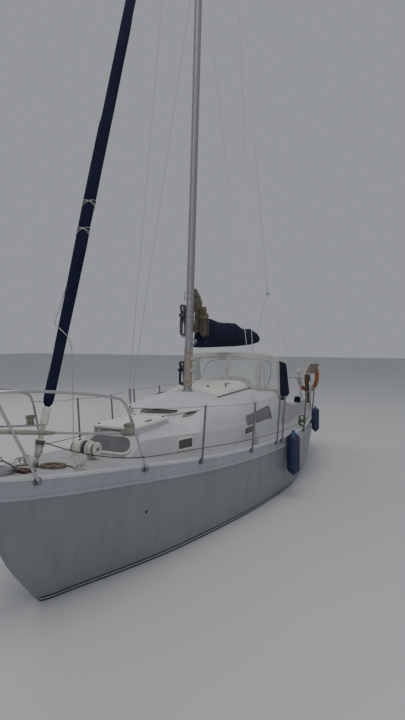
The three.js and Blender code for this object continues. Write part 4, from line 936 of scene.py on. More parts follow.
def build_pulpit():
    shell = Shell()
    feet = {sign: [outer_foot(shell, aft, sign, 1) for aft in PULPIT_FEET] for sign in (1, -1)}
    shell.tube(smooth_path(across([feet[1][0]] + [at(*p) for p in PULPIT_TOP]), 9), TUBE_R, 16)
    shell.tube(smooth_path(across([at(*p) for p in PULPIT_MID]), 9), TUBE_R - 0.002, 14)
    for sign in (1, -1):
        leg_top = flip([at(*PULPIT_LEG_TOP)], sign)[0]
        shell.tube([feet[sign][1], leg_top], TUBE_R, 16)
        for p, way in ((leg_top, (leg_top - feet[sign][1]).normalized()),
                       (flip([at(*PULPIT_MID[0])], sign)[0], AHEAD)):
            shell.turned(p - way * 0.018, way, [(0, 0.0128), (0.006, 0.0155), (0.016, 0.0150),
                    (0.020, 0.010)], 14)
    stands_for(shell.make("pulpit_tubes", [STEEL, DARK_STEEL]), "steel", "pulpit")


def build_sidelight(side, sign):
    """Lamp housing with a hood, a lens towards the bow and outboard, and its bracket."""
    (a0, a1), (y0, y1), (z0, z1) = SIDELIGHT["aft"], SIDELIGHT["y"], SIDELIGHT["z"]
    shell = Shell()
    outline = lambda inset, z: flip([at(a0 + inset, y0 + inset, z), at(a1 - inset, y0 + inset, z),
                                     at(a1 - inset, y1 - 0.012 - inset, z), at(a0 + 0.040, y1 - inset, z),
                                     at(a0 + inset, y1 - 0.034 - inset, z)], sign)
    shell.rings([outline(0.004, z0), outline(0, z0 + 0.006), outline(0, z0 + 0.026),
                 outline(0.006, z0 + 0.029)])
    shell.rings([outline(0.006, z0 + 0.029), outline(0.006, z1 - 0.032)], 1)
    shell.rings([outline(0.006, z1 - 0.032), outline(-0.002, z1 - 0.028), outline(0, z1 - 0.008),
                 outline(0.006, z1)])
    stands_for(shell.make("sidelight_lamp_" + side, [LAMP_HOUSING, LENS], smooth=30), "grey_plastic",
               "sidelight_" + side)


PUSHPIT_Z, PUSHPIT_MID_Z = 1.478, 1.190
PUSHPIT_FORE, PUSHPIT_CORNER, RAIL_IN = 6.26, 6.96, 0.062


def build_pushpit():
    shell = Shell()
    rail_y = lambda a: edge(a, RAIL_IN)
    turns = [(a, rail_y(a)) for a in (PUSHPIT_FORE, PUSHPIT_CORNER)] + [(7.33, 0.770), (7.388, 0.560)]
    port = [on_board(*turns[0], 0)] + [at(a, y, PUSHPIT_Z) for a, y in turns]
    shell.tube(bent(port + flip(port, -1)[::-1], 0.09, 8), TUBE_R, 16)
    for sign in (1, -1):
        for aft, y, top_aft in ((PUSHPIT_CORNER, rail_y(PUSHPIT_CORNER), PUSHPIT_CORNER),
                                (7.32, 0.640, 7.384)):
            shell.tube([on_board(aft, sign * y, 0), at(top_aft, sign * y, PUSHPIT_Z)], TUBE_R, 14)
            foot(shell, aft, sign * y)
        foot(shell, PUSHPIT_FORE, sign * rail_y(PUSHPIT_FORE))
        shell.tube([at(a, sign * y, PUSHPIT_MID_Z) for a, y in turns[:2]], TUBE_R - 0.002, 12)
    stands_for(shell.make("pushpit_tubes", STEEL), "steel", "pushpit")


STANCHIONS = [(1.63, 0.600), (2.70, 0.600), (3.41, 0.640), (3.58, 0.620), (4.60, 0.600), (5.45, 0.600)]
LEAN = 0.045
TOP_LINE = {"fore": (0.560, 0.600, 1.660), "below": 0.014, "aft_z": 1.385}
LOW_LINE = {"fore": (0.690, 0.648, 1.180), "up": 0.122, "aft_z": 1.130}


def sagging(a, b, drop, count=7):
    return [a.lerp(b, u) - UP * (drop * 4 * u * (1 - u)) for u in np.linspace(0, 1, count)]


def build_lifelines(side, sign):
    """Leaning stanchions in sockets, the guard wire on top and the furling line low along them."""
    shell = Shell()
    tops, lows = [at(*TOP_LINE["fore"])], [at(*LOW_LINE["fore"])]
    for aft, high in STANCHIONS:
        s = hull_at(aft)
        foot_at = outer_foot(shell, aft, sign, 2)
        y, top = s["half"] + FOOT_OUT, s["deck"] + high
        head = at(aft, sign * (y + LEAN), top)
        way = (head - foot_at).normalized()
        long = (head - foot_at).length
        shell.turned(foot_at, way, [(0, TUBE_R), (long - 0.012, TUBE_R), (long - 0.004, 0.010),
                                    (long, 0.004)], 16, 2)
        shell.turned(foot_at + way * (long - 0.022), way, [(0, 0.0128), (0.003, 0.0142), (0.014, 0.0142),
                (0.017, 0.0128)], 16, 2)
        tops.append(at(aft, y + LEAN, top - TOP_LINE["below"]))
        lows.append(at(aft, y + LEAN / 4, s["deck"] + LOW_LINE["up"]))
        shell.turned(at(aft - 0.009, sign * (y + LEAN / 4), s["deck"] + LOW_LINE["up"]), AHEAD,
                     [(-0.008, 0.006), (-0.004, 0.011), (0.004, 0.011), (0.008, 0.006)], 12, 2)
    end = edge(PUSHPIT_FORE, RAIL_IN)
    tops.append(at(6.238, end, TOP_LINE["aft_z"]))
    lows.append(at(6.238, end, LOW_LINE["aft_z"]))
    tops, lows = flip(tops, sign), flip(lows, sign)
    for k, (a, b) in enumerate(zip(tops, tops[1:])):
        white = k == len(STANCHIONS)
        shell.tube(sagging(a, b, 0.010), 0.0048 if white else WIRE_R, 8, 3 if white else 1)
    for a, b in zip(lows, lows[1:]):
        shell.tube(sagging(a, b, 0.006), 0.0038, 8, 4)
    for a, b in ((tops[0], tops[1]), (tops[-1], tops[-2])):
        way = (b - a).normalized()
        shell.turned(a, way, [(0, 0.004), (0.012, 0.0075), (0.020, 0.0055), (0.085, 0.0055),
                              (0.092, 0.0075), (0.15, 0.0045), (0.16, 0.003)], 12)
    stands_for(shell.make("lifeline_rig_" + side, [STEEL, WIRE, DARK_STEEL, BINDING, DARK_ROPE]), "steel",
               "lifelines_" + side)


build_pulpit()
build_pushpit()
for side, sign in SIDES.items():
    build_lifelines(side, sign)
    build_sidelight(side, sign)


# Mast and rigging
MAST_AFT, MAST_FOOT_Z, MAST_HEAD_Z = 2.98, 1.57, 13.20
RAKE = math.radians(3.7)
MAST_DIR = Vector((-math.sin(RAKE), 0, math.cos(RAKE)))
MAST_LONG, MAST_WIDE = 0.146, 0.104
SPREADER_Z, SPREADER_HALF = 8.20, 0.590
GOOSENECK = (3.165, 2.265)
BOOM_END = (6.330, 2.335)
CHAINPLATE = {"aft": 2.96, "inward": 0.064, "z": 0.905}


def mast_at(z):
    return at(MAST_AFT, 0, MAST_FOOT_Z) + MAST_DIR * ((z - MAST_FOOT_Z) / MAST_DIR.z)


def spar_ring(centre, long, wide, sides=48, groove=True):
    """Oval section with a flat luff groove along its after face."""
    ring = []
    for a in angles(sides):
        x, y = long / 2 * math.cos(a), wide / 2 * math.sin(a)
        if groove and abs(y) < wide * 0.09 and x < 0:
            x += 0.009
        ring.append(centre + Vector((x, y, 0)))
    return ring


def build_mast():
    tube = [(MAST_FOOT_Z - 0.004, 1), (4.0, 1), (7.0, 1), (10.5, 1), (MAST_HEAD_Z, 0.82)]
    spar = loft("mast_spar", [spar_ring(mast_at(z), MAST_LONG - 0.03 * (k < 1), MAST_WIDE - 0.016 * (k < 1))
                              for z, k in tube], ALLOY, smooth=28)
    stands_for(spar, "alloy", "mast")
    shell = Shell()
    shoe = [(MAST_FOOT_Z - 0.02, 0.060), (MAST_FOOT_Z + 0.004, 0.056), (MAST_FOOT_Z + 0.010, 0.030),
            (MAST_FOOT_Z + 0.026, 0.026), (MAST_FOOT_Z + 0.030, 0.006)]
    shell.rings([spar_ring(mast_at(z), MAST_LONG + d, MAST_WIDE + d, 32, False) for z, d in shoe])
    shell.make("mast_shoe", ALLOY)
    steel = Shell()
    plate_at = at(GOOSENECK[0], 0, GOOSENECK[1])
    for dz in (0.040, -0.040):
        near = mast_at(GOOSENECK[1] + dz)
        far = plate_at + MAST_DIR * dz
        outline = [Vector((near.x - 0.05, -0.024, near.z)), Vector((near.x - 0.05, 0.024, near.z))]
        outline += [far + Vector((-0.024 * math.cos(a), 0.024 * math.sin(a), 0))
                    for a in np.linspace(math.pi / 2, -math.pi / 2, 9)]
        steel.rings([[p + MAST_DIR * h for p in outline] for h in (-0.006, 0.006)])
    steel.turned(plate_at - MAST_DIR * 0.055, MAST_DIR, [(0, 0.013), (0.008, 0.013), (0.009, 0.006),
            (0.101, 0.006), (0.102, 0.011), (0.110, 0.011)], 16)
    for z, r in ((2.03, 0.030), (1.86, 0.030)):
        base = mast_at(z) + Vector((0.02, MAST_WIDE / 2 - 0.004, 0))
        steel.turned(base, PORT, [(0, 0.034), (0.012, 0.034), (0.016, 0.025), (0.060, 0.022),
                                  (0.064, 0.033), (0.078, 0.033), (0.082, 0.012)], 24)
    for z, sign in ((2.62, 1), (2.62, -1), (2.95, -1)):
        base = mast_at(z) + Vector((0.015, sign * (MAST_WIDE / 2 - 0.003), 0))
        out = Vector((0, sign, 0))
        for dz in (-0.030, 0.030):
            steel.tube([base + UP * dz, base + out * 0.028 + UP * dz], 0.009, 10)
        bar = [base + out * 0.033 + UP * h for h in (-0.085, -0.04, 0.04, 0.085)]
        steel.tube(bar, [0.005, 0.009, 0.009, 0.005], 10)
    steel.make("mast_fittings", STEEL)


def build_spreaders():
    root = mast_at(SPREADER_Z)
    for side, sign in SIDES.items():
        rings = []
        for y, long, thick in ((0.050, 0.086, 0.026), (0.30, 0.064, 0.020),
                               (SPREADER_HALF - 0.010, 0.044, 0.016)):
            rings.append([Vector((root.x + long / 2 * math.cos(a), sign * y,
                                  root.z + thick / 2 * math.sin(a))) for a in angles(20)])
        arm = loft("spreader_arm_" + side, rings, ALLOY)
        stands_for(arm, "alloy", "spreader_" + side)
        end = Vector((root.x, sign * (SPREADER_HALF - 0.030), root.z))
        boot = Shell().turned(end, (0, sign, 0), [(0, 0.012), (0.012, 0.020), (0.030, 0.019),
                (0.036, 0.008)], 14)
        boot.make("spreader_boot_" + side, BLACK)
    head = mast_at(MAST_HEAD_Z)
    crane = box("crane", (head.x - 0.173, -0.023, head.z - 0.058), (head.x + 0.128, 0.023, head.z + 0.018),
                ALLOY, 0.008)
    stands_for(crane, "alloy", "masthead_crane")


def wire(shell, a, b, screw=0.30):
    """Wire with a bottle screw at its lower end a and a terminal at b."""
    way = (b - a).normalized()
    shell.tube([a + way * screw * 0.9, b], 0.004, 8)
    if screw:
        shell.turned(a, way, [(0, 0.010), (0.030, 0.010), (0.032, 0.005), (0.075, 0.005), (0.077, 0.0095),
                              (0.21, 0.0095), (0.212, 0.005), (0.25, 0.005), (0.252, 0.0075),
                              (screw, 0.006)], 14)
    shell.turned(b - way * 0.07, way, [(0, 0.0045), (0.01, 0.0065), (0.068, 0.0065), (0.07, 0.003)], 10)


def build_shrouds():
    for side, sign in SIDES.items():
        y = sign * edge(CHAINPLATE["aft"], CHAINPLATE["inward"])
        plate = at(CHAINPLATE["aft"], y, CHAINPLATE["z"])
        root = mast_at(SPREADER_Z)
        tip = Vector((root.x, sign * SPREADER_HALF, root.z))
        hound = mast_at(MAST_HEAD_Z - 0.12)
        low = mast_at(SPREADER_Z - 0.15)
        cap = Shell()
        cap.box((plate.x - 0.058, y - 0.020, 0.86), (plate.x + 0.058, y + 0.020, 0.952))
        wire(cap, plate + UP * 0.05, tip)
        wire(cap, tip, Vector((hound.x, sign * 0.052, hound.z)), screw=0)
        stands_for(cap.make("cap_wire_" + side, STEEL), "steel", "cap_shroud_" + side)
        lower = Shell()
        wire(lower, Vector((plate.x - 0.045, y, 0.996)),
             Vector((low.x, sign * (MAST_WIDE / 2 + 0.004), low.z)))
        stands_for(lower.make("lower_wire_" + side, STEEL), "steel", "lower_shroud_" + side)


BRIDLE = at(6.985, 0, 3.30)
BRIDLE_FOOT = (7.30, 0.73)


def build_backstay():
    shell = Shell()
    head = mast_at(MAST_HEAD_Z)
    wire(shell, BRIDLE, Vector((head.x - 0.180, 0, MAST_HEAD_Z - 0.04)), screw=0.22)
    corners = [(-0.012, -0.03), (0.012, -0.03), (0.012, 0.02), (-0.012, 0.02)]
    shell.rings([[BRIDLE + Vector((x, y, z)) for x, z in corners] for y in (-0.035, 0.035)])
    for sign in (1, -1):
        z = deck_z(*BRIDLE_FOOT)
        base = at(BRIDLE_FOOT[0], sign * BRIDLE_FOOT[1], z + 0.05)
        wire(shell, base, BRIDLE + PORT * (sign * 0.02))
        shell.box((base.x - 0.020, base.y - 0.008, z - 0.01), (base.x + 0.020, base.y + 0.008, z + 0.058))
    stands_for(shell.make("backstay_wires", STEEL), "steel", "backstay")


def boom_point(aft):
    u = (aft - GOOSENECK[0]) / (BOOM_END[0] - GOOSENECK[0])
    return at(aft, 0, GOOSENECK[1] + (BOOM_END[1] - GOOSENECK[1]) * u)


def boom_ring(aft, wide, high, sides=32):
    return oval(boom_point(aft), PORT, UP, wide / 2, high / 2, angles(sides))


def build_boom():
    a0, a1 = GOOSENECK[0], BOOM_END[0]
    spar = loft("boom_spar", [boom_ring(a0 + 0.046, 0.060, 0.088), boom_ring(a0 + 0.055, 0.074, 0.104),
                              boom_ring(a1 - 0.012, 0.074, 0.104), boom_ring(a1 - 0.001, 0.064, 0.092)],
                ALLOY, body="boom")
    stands_for(spar, "alloy", "boom")
    shell = Shell()
    p = boom_point(a0)
    shell.turned(p - MAST_DIR * 0.031, MAST_DIR, [(0, 0.020), (0.004, 0.022), (0.058, 0.022),
            (0.062, 0.020)], 20)
    shell.rings([boom_ring(a0 + 0.004, 0.026, 0.036, 16), boom_ring(a0 + 0.058, 0.048, 0.052, 16)])
    shell.make("boom_toggle", STEEL, body="boom")


build_mast()
build_spreaders()
build_shrouds()
build_backstay()
build_boom()


# Sail cover, exposed luff, furled headsail
def ripple(*at_values):
    """Smooth noise from -1 to 1 at a place."""
    return hash_noise.noise(Vector(at_values))


COVER = [(3.215, 2.196, 2.282, 0.055), (3.30, 2.191, 2.352, 0.076), (3.385, 2.186, 2.425, 0.094),
         (3.428, 2.185, 2.640, 0.100), (3.62, 2.185, 2.655, 0.105), (4.18, 2.186, 2.585, 0.108),
         (4.94, 2.190, 2.592, 0.102), (5.31, 2.198, 2.505, 0.092), (5.80, 2.212, 2.512, 0.084),
         (6.16, 2.245, 2.430, 0.068), (6.28, 2.275, 2.385, 0.045)]
COVER_PROFILE = [(0, 0), (0.30, 0.0), (0.62, 0.05), (0.86, 0.16), (1, 0.32), (0.96, 0.50), (0.80, 0.70),
                 (0.56, 0.87), (0.28, 0.97), (0, 1)]
COVER_TIE = 5.42


def build_cover():
    profile = smooth_path([Vector((w, h, 0)) for w, h in COVER_PROFILE], 3)
    rings = []
    for aft in np.arange(COVER[0][0], COVER[-1][0] + 0.001, 0.0155):
        low, high, half = row_at(COVER, aft)
        tie = math.exp(-((aft - COVER_TIE) / 0.035) ** 2)
        port = []
        for sign in (1, -1):
            side = []
            for p in profile:
                fold = 0.010 * ripple(aft * 6 + 3 * p.y, p.y * 1.6, sign * 3)
                fold += 0.0025 * ripple(aft * 21 - 4 * p.y, p.y * 2.6, sign * 7 + 5)
                fold *= min(1, p.x * 1.6)
                pinch = 0.13 * tie * (0.4 + 0.6 * p.x)
                y = (p.x * half + fold) * (1 - pinch)
                z = low + (high - low) * p.y * (1 - 0.05 * tie) + 0.012 * ripple(aft * 6, p.y * 2, 11) * p.y
                side.append(at(aft, sign * max(y, 0), z))
            port.append(side)
        rings.append(port[0] + port[1][-2:0:-1])
    cover = loft("cover_cloth", rings, NAVY, smooth=60, body="boom")
    stands_for(cover, "navy_canvas", "sail_cover")
    low, high, half = row_at(COVER, COVER_TIE)
    loop = [at(COVER_TIE + 0.004 * math.sin(3 * a), (half * 0.88 + 0.006) * math.cos(a),
               (low + high) / 2 + ((high - low) * 0.475 + 0.006) * math.sin(a))
            for a in np.linspace(0, math.tau, 40)]
    Shell().tube(loop, 0.0035, 8).make("cover_ties", GREY_ROPE, body="boom")
    edge_line = [r[len(profile) - 1] for r in rings[14:]]
    Shell().tube([p + UP * 0.002 for p in edge_line], 0.0035, 8).make("cover_seam", NAVY, body="boom")


# The luff's folds: height, fore edge, aft edge, half width to starboard and to port
LUFF = [(2.4128, 3.200, 3.370, 0.042, 0.044), (2.56, 3.198, 3.388, 0.056, 0.056),
        (2.70, 3.206, 3.392, 0.052, 0.058), (2.76, 3.208, 3.390, 0.050, 0.086),
        (2.88, 3.212, 3.352, 0.044, 0.090), (2.98, 3.218, 3.325, 0.036, 0.056),
        (3.06, 3.222, 3.290, 0.022, 0.014)]


def build_luff():
    """The stowed mainsail's luff between mast and cover: brown cloth in folds, with its lines."""
    rings = []
    for z in np.linspace(LUFF[0][0], LUFF[-1][0], 70):
        fore, aft, starboard, port = row_at(LUFF, z)
        ring = []
        for a in angles(48):
            lump = 1 + 0.15 * ripple(2.4 * math.cos(a), 2.4 * math.sin(a),
                                     z * 9) - 0.12 * abs(math.sin(z * 30 + 2 * a))
            wide = port if math.sin(a) > 0 else starboard
            ring.append(at((fore + aft) / 2 + (aft - fore) / 2 * lump * math.cos(a),
                           wide * lump * math.sin(a), z))
        rings.append(ring)
    luff = loft("luff_folds", rings, TAN_CANVAS, smooth=60, body="boom")
    stands_for(luff, "brown_canvas", "luff_bundle")
    lines = Shell()
    for z, lean in ((2.50, 0.02), (2.62, -0.03), (2.77, 0.03), (2.93, -0.01)):
        fore, aft, starboard, port = row_at(LUFF, z)
        loop = []
        for a in LOOP:
            wide = port if math.sin(a) > 0 else starboard
            loop.append(at((fore + aft) / 2 + ((aft - fore) / 2 + 0.003) * math.cos(a),
                           (wide + 0.003) * math.sin(a), z + lean * math.cos(a)))
        lines.tube(loop, 0.0045, 8)
    lines.make("luff_lashings", GREY_ROPE, body="boom")


STAY_FOOT, STAY_TOP = at(-0.06, 0, 1.225), at(3.59, 0, 13.08)
STAY_DIR = (STAY_TOP - STAY_FOOT).normalized()
STAY_LONG = (STAY_TOP - STAY_FOOT).length
SAIL_FOOT = 0.498
LASHINGS = (2.245, 2.550)
SAIL_RADII = [(SAIL_FOOT, 0.020), (0.54, 0.046), (2.6, 0.064), (5.2, 0.059), (STAY_LONG - 1.15, 0.025),
              (STAY_LONG - 1.11, 0.016)]


def build_headsail():
    """Rolled sail: a spiral of cloth whose outer edge winds round as a step, drawn in by its lashings."""
    side = STAY_DIR.orthogonal().normalized()
    up = STAY_DIR.cross(side)
    rings = []
    for d in np.arange(SAIL_FOOT, STAY_LONG - 1.109, 0.035):
        base = row_at(SAIL_RADII, d)[0]
        lash = max(math.exp(-((d - t) / 0.030) ** 2) for t in LASHINGS)
        ring = []
        for a in angles(40):
            step = ((a + d * 2.3) % math.tau) / math.tau
            wave = ripple(d * 2.2, 2 * math.cos(a), 2 * math.sin(a))
            r = base * (0.90 + 0.15 * step - 0.10 * lash + 0.035 * wave)
            ring.append(STAY_FOOT + STAY_DIR * d + side * (r * math.cos(a)) + up * (r * math.sin(a)))
        rings.append(ring)
    sail = loft("rolled_sail", rings, NAVY, smooth=50)
    stands_for(sail, "navy_canvas", "furled_headsail")
    shell = Shell()
    for d in LASHINGS:
        r = row_at(SAIL_RADII, d)[0] * 0.94 + 0.004
        for tilt, lead in ((0.048, 0.4), (0.026, 2.9), (0.010, 1.5)):
            loop = [STAY_FOOT + STAY_DIR * (d + tilt * math.sin(a + lead)) + side * (r * math.cos(a))
                    + up * (r * math.sin(a)) for a in LOOP]
            shell.tube(loop, 0.0034, 8)
    shell.make("sail_lashings", WHITE_ROPE)
    top = STAY_FOOT + STAY_DIR * (STAY_LONG - 1.115)
    foil = Shell().tube([top, STAY_TOP - STAY_DIR * 0.03], 0.013, 14)
    foil.turned(top, STAY_DIR, [(0, 0.020), (0.02, 0.033), (0.10, 0.033), (0.12, 0.018)], 18)
    foil.make("headfoil", ALLOY)


# The furler, turned round the stay: rows of distance and radius, and which of its materials
FURLER = [
    ([(0.012, 0.010), (0.050, 0.014), (0.052, 0.020), (0.062, 0.026), (0.100, 0.030), (0.145, 0.036),
      (0.150, 0.044), (0.158, 0.046), (0.162, 0.040)], 1),
    ([(0.160, 0.032), (0.196, 0.032)], 3),
    ([(0.192, 0.036), (0.196, 0.044), (0.203, 0.046), (0.208, 0.040), (0.214, 0.021), (0.338, 0.021)], 0),
    ([(0.336, 0.022), (0.340, 0.033), (0.346, 0.036), (0.480, 0.037), (0.488, 0.035), (0.493, 0.022),
      (SAIL_FOOT - 0.0003, 0.020)], 2),
]


def build_drum():
    """Furler: vase below, drum with its line, a slim neck and the long white cup under the sail."""
    shell = Shell()
    for rows, slot in FURLER:
        shell.turned(STAY_FOOT, STAY_DIR, rows, 32, slot)
    side = STAY_DIR.orthogonal().normalized()
    up = STAY_DIR.cross(side)
    for k in range(5):
        middle = STAY_FOOT + STAY_DIR * (0.166 + 0.006 * k)
        shell.tube(oval(middle, side, up, 0.036, 0.036, np.linspace(0, math.tau, 20)), 0.004, 6, 3)
    stands_for(shell.make("furler", [DRUM, STEEL, WHITE_METAL, GREY_ROPE]), "cream_moulding", "furler_drum")
    tang = Shell()
    base = deck_z(-0.06, 0)
    tang.box((STAY_FOOT.x - 0.030, -0.006, base - 0.01), (STAY_FOOT.x + 0.030, 0.006, STAY_FOOT.z + 0.035))
    tang.turned(STAY_FOOT + Vector((0, -0.022, 0.012)), PORT, [(0, 0.010), (0.044, 0.010)], 14)
    tang.make("stay_tang", STEEL, round_by=0.002)


# Dodger over the companionway
# Rows of aft, half width, top, foot, and how far a metre of drop leans aft
DODGER = [(4.235, 0.640, 1.590, 1.18, 0), (4.330, 0.665, 1.845, 1.18, 0), (4.440, 0.690, 2.065, 1.18, 0),
          (4.640, 0.740, 2.085, 1.18, 0), (4.940, 0.815, 2.030, 1.18, 0), (5.240, 0.866, 1.970, 1.33, 0.32)]
DODGER_FORE, DODGER_AFT = 4.235, 5.240
CURTAIN_FORE = 4.965
DODGER_STATIONS = sorted(set([DODGER_FORE, HOUSE_END - 0.001, HOUSE_END + 0.001, CURTAIN_FORE, DODGER_AFT]
                             + list(np.round(np.linspace(4.235, 4.47, 18), 4))
                             + list(np.round(np.linspace(4.50, 5.22, 24), 4))))


def dodger_row(aft):
    near = [min(max(aft + d, DODGER_FORE), DODGER_AFT) for d in np.linspace(-0.03, 0.03, 7)]
    return row_at(DODGER, near if 4.26 < aft < 5.20 else aft)


def dodger_profile(aft, inset=0.0):
    half, top, low, _ = dodger_row(aft)
    foot_z = roof_z(aft, half - 0.01) - 0.008 if aft < HOUSE_END else low
    curve = min(0.09, (top - 1.40) / 2)
    points = [(half, foot_z), (half - 0.008, (foot_z + top) / 2), (half - 0.018, top - curve),
              (half - 0.050, top - curve * 0.28), (half - 0.15, top - 0.010), ((half - 0.15) / 2, top),
              (0, top + 0.003)]
    return smooth_path([Vector((y - (inset if y else 0), z - (inset if z > foot_z else 0), 0))
                        for y, z in points], 4)


def dodger_at(aft, y, z):
    """A point of the canopy, leaned aft as its aft edge is."""
    _, top, _, lean = dodger_row(aft)
    return at(aft + lean * max(top - z, 0), y, z)


def dodger_ring(aft, inset, drop=0.0):
    port = [dodger_at(aft, p.x, p.y) for p in dodger_profile(aft, inset)]
    half = port[0].y
    under = []
    for y in np.linspace(half, -half, 13)[1:-1]:
        z = roof_z(aft, y) if aft < HOUSE_END else port[0].z
        under.append(dodger_at(aft, y, z - 0.008))
    ring = across(port) + under[::-1]
    if drop:
        n = len(ring) - len(under)
        ring = ring[:n] + [Vector((p.x, p.y, p.z - drop)) for p in ring[n:]]
        for k in (0, n - 1):
            ring[k] = Vector((ring[k].x, ring[k].y, ring[k].z - drop))
    return ring


def canopy_z(aft, y):
    return row_at(dodger_profile(aft)[::-1], abs(y))[0]


def on_dodger_front(p, out):
    """(y, z) on the sloping front of the canopy."""
    afts = np.linspace(4.236, 4.52, 50)
    zs = [canopy_z(float(a), p.x) for a in afts]
    k = int(np.argmax(zs))
    aft = float(np.interp(p.y, zs[:k + 1], afts[:k + 1]))
    return at(aft - out * 0.93, p.x, p.y + out * 0.37)


def on_dodger_side(p, out, sign):
    y = row_at([(q.y, q.x) for q in dodger_profile(p.x)[:18]], p.y)[0]
    return at(p.x, sign * (y + out), p.y)


def build_dodger():
    shell = loft("canopy", [dodger_ring(a, 0) for a in DODGER_STATIONS], PALE_CANVAS, body=None)
    inner_at = [a for a in DODGER_STATIONS if a > 4.245]
    rings = [dodger_ring(a, 0.005, 0.05) for a in inner_at]
    rings.append([p - Vector((0.03, 0, 0)) for p in rings[-1]])
    cut(shell, loft("t", rings, PALE_CANVAS, body=None))
    cut_box(shell, (4.20, 4.34), 0.316, (1.3, 1.6285))
    shell.data.materials.append(NAVY)
    panes = {
        "dodger_pane_starboard": [(-0.600, 1.560), (-0.580, 1.995), (0.065, 2.035), (0.065, 1.640)],
        "dodger_pane_port": [(0.115, 1.640), (0.115, 2.035), (0.580, 1.995), (0.600, 1.560)],
    }
    for name, corners in panes.items():
        outline = rounded(corners, 0.04)
        cut_ahead(shell, outline, (4.15, 4.50))
        loft(name, [[on_dodger_front(p, d) for p in outline] for d in (-0.004, -0.001)], CLEAR, smooth=60)
        frame_ring(name + "_binding", outline, on_dodger_front, BINDING, 0.016, 0.004, -0.006)
    side = rounded([(4.330, 1.500), (4.450, 1.965), (4.890, 1.945), (4.915, 1.460)], 0.04)
    for which, sign in SIDES.items():
        cut_side(shell, side, sign, (0.55, 1.0))
        place = lambda p, d: on_dodger_side(p, d, sign)
        loft("dodger_side_pane_" + which, [[place(p, d) for p in side] for d in (-0.004, -0.001)],
             CLEAR, smooth=60)
        frame_ring("dodger_side_binding_" + which, side, place, BINDING, 0.016, 0.004, -0.006)
    for f in shell.data.polygons:
        below = f.center.z < dodger_row(STEM_X - f.center.x)[1] - 0.10
        f.material_index = int(below and f.center.x < STEM_X - CURTAIN_FORE)
    shade(shell, 50)
    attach(shell, "root")
    stands_for(shell, "white_canvas", "dodger_canopy")
    trim = Shell()
    aft_line = [dodger_at(DODGER_AFT, p.x, p.y) for p in dodger_profile(DODGER_AFT)]
    trim.tube(across(aft_line), 0.007, 8)
    for y in (-0.27, 0.27):
        trim.tube([at(a, y, canopy_z(a, y) + 0.001) for a in np.linspace(4.46, 5.235, 20)], 0.0035, 6)
    zip_line = [on_dodger_front(Vector((0.090, z)), 0.003) for z in np.linspace(1.62, 2.02, 9)]
    trim.tube(zip_line, 0.004, 6)
    trim.make("dodger_piping", BINDING)


# Hoops: aft and height of the foot's pin, height of the top, and how far the hoop leans aft
HOOPS = [(4.590, 2.034, 0.050), (4.630, 1.940, 0.540)]
HOOP_HALF, HOOP_FOOT = 0.662, 1.49


def build_hoops():
    shell = Shell()
    for aft, top_z, lean in HOOPS:
        rise = top_z - 1.30
        port = [at(aft, HOOP_HALF, HOOP_FOOT), at(aft + lean * 0.6, HOOP_HALF - 0.020, 1.30 + rise * 0.55),
                at(aft + lean * 0.9, HOOP_HALF - 0.060, top_z - 0.07),
                at(aft + lean, HOOP_HALF - 0.190, top_z - 0.008), at(aft + lean, 0, top_z)]
        shell.tube(smooth_path(across(port), 8), 0.011, 14)
    for sign in (1, -1):
        z = roof_z(4.70, HOOP_HALF)
        y = sign * HOOP_HALF
        shell.box(at(4.850, y - 0.014, z - 0.02), at(4.560, y + 0.014, z + 0.012))
        for aft, _, _ in HOOPS:
            shell.box(at(aft + 0.022, y - 0.013, z), at(aft - 0.022, y + 0.013, z + 0.040))
            shell.turned(at(aft, y - 0.019, z + 0.028), PORT, [(0, 0.008), (0.038, 0.008)], 12)
    stands_for(shell.make("dodger_hoops", STEEL), "steel", "dodger_frame")


build_cover()
build_luff()
build_headsail()
build_drum()
build_hoops()
build_dodger()


# Hatches, sea hood and washboards; black rods along the sea hood's sides are painted shadow at its foot
def domed(name, aft0, aft1, half, z0, z1, crown, radius, used, body="root"):
    """A plate with rounded corners and a slightly domed top."""
    outline = rounded([(aft0, -half), (aft0, half), (aft1, half), (aft1, -half)], radius, 7)
    centre = Vector(((aft0 + aft1) / 2, 0))
    rows = [(1.0, z0), (1.0, z1 - 0.008), (0.992, z1 - 0.002), (0.97, z1)]
    rows += [(s, z1 + crown * (1 - s * s)) for s in (0.88, 0.7, 0.5, 0.3, 0.1, 0.01)]
    rings = [[at(centre.x + (p.x - centre.x) * s, p.y * s, z) for p in outline] for s, z in rows]
    return loft(name, rings, used, body=body)


HATCH = {"aft0": 1.155, "aft1": 1.925, "half": 0.255, "top": 1.338}
LID = {"aft0": 1.100, "aft1": 1.950, "half": 0.270, "low": 1.3385, "top": 1.366}
HINGE = (1.088, 1.348, (-0.180, 0.180))


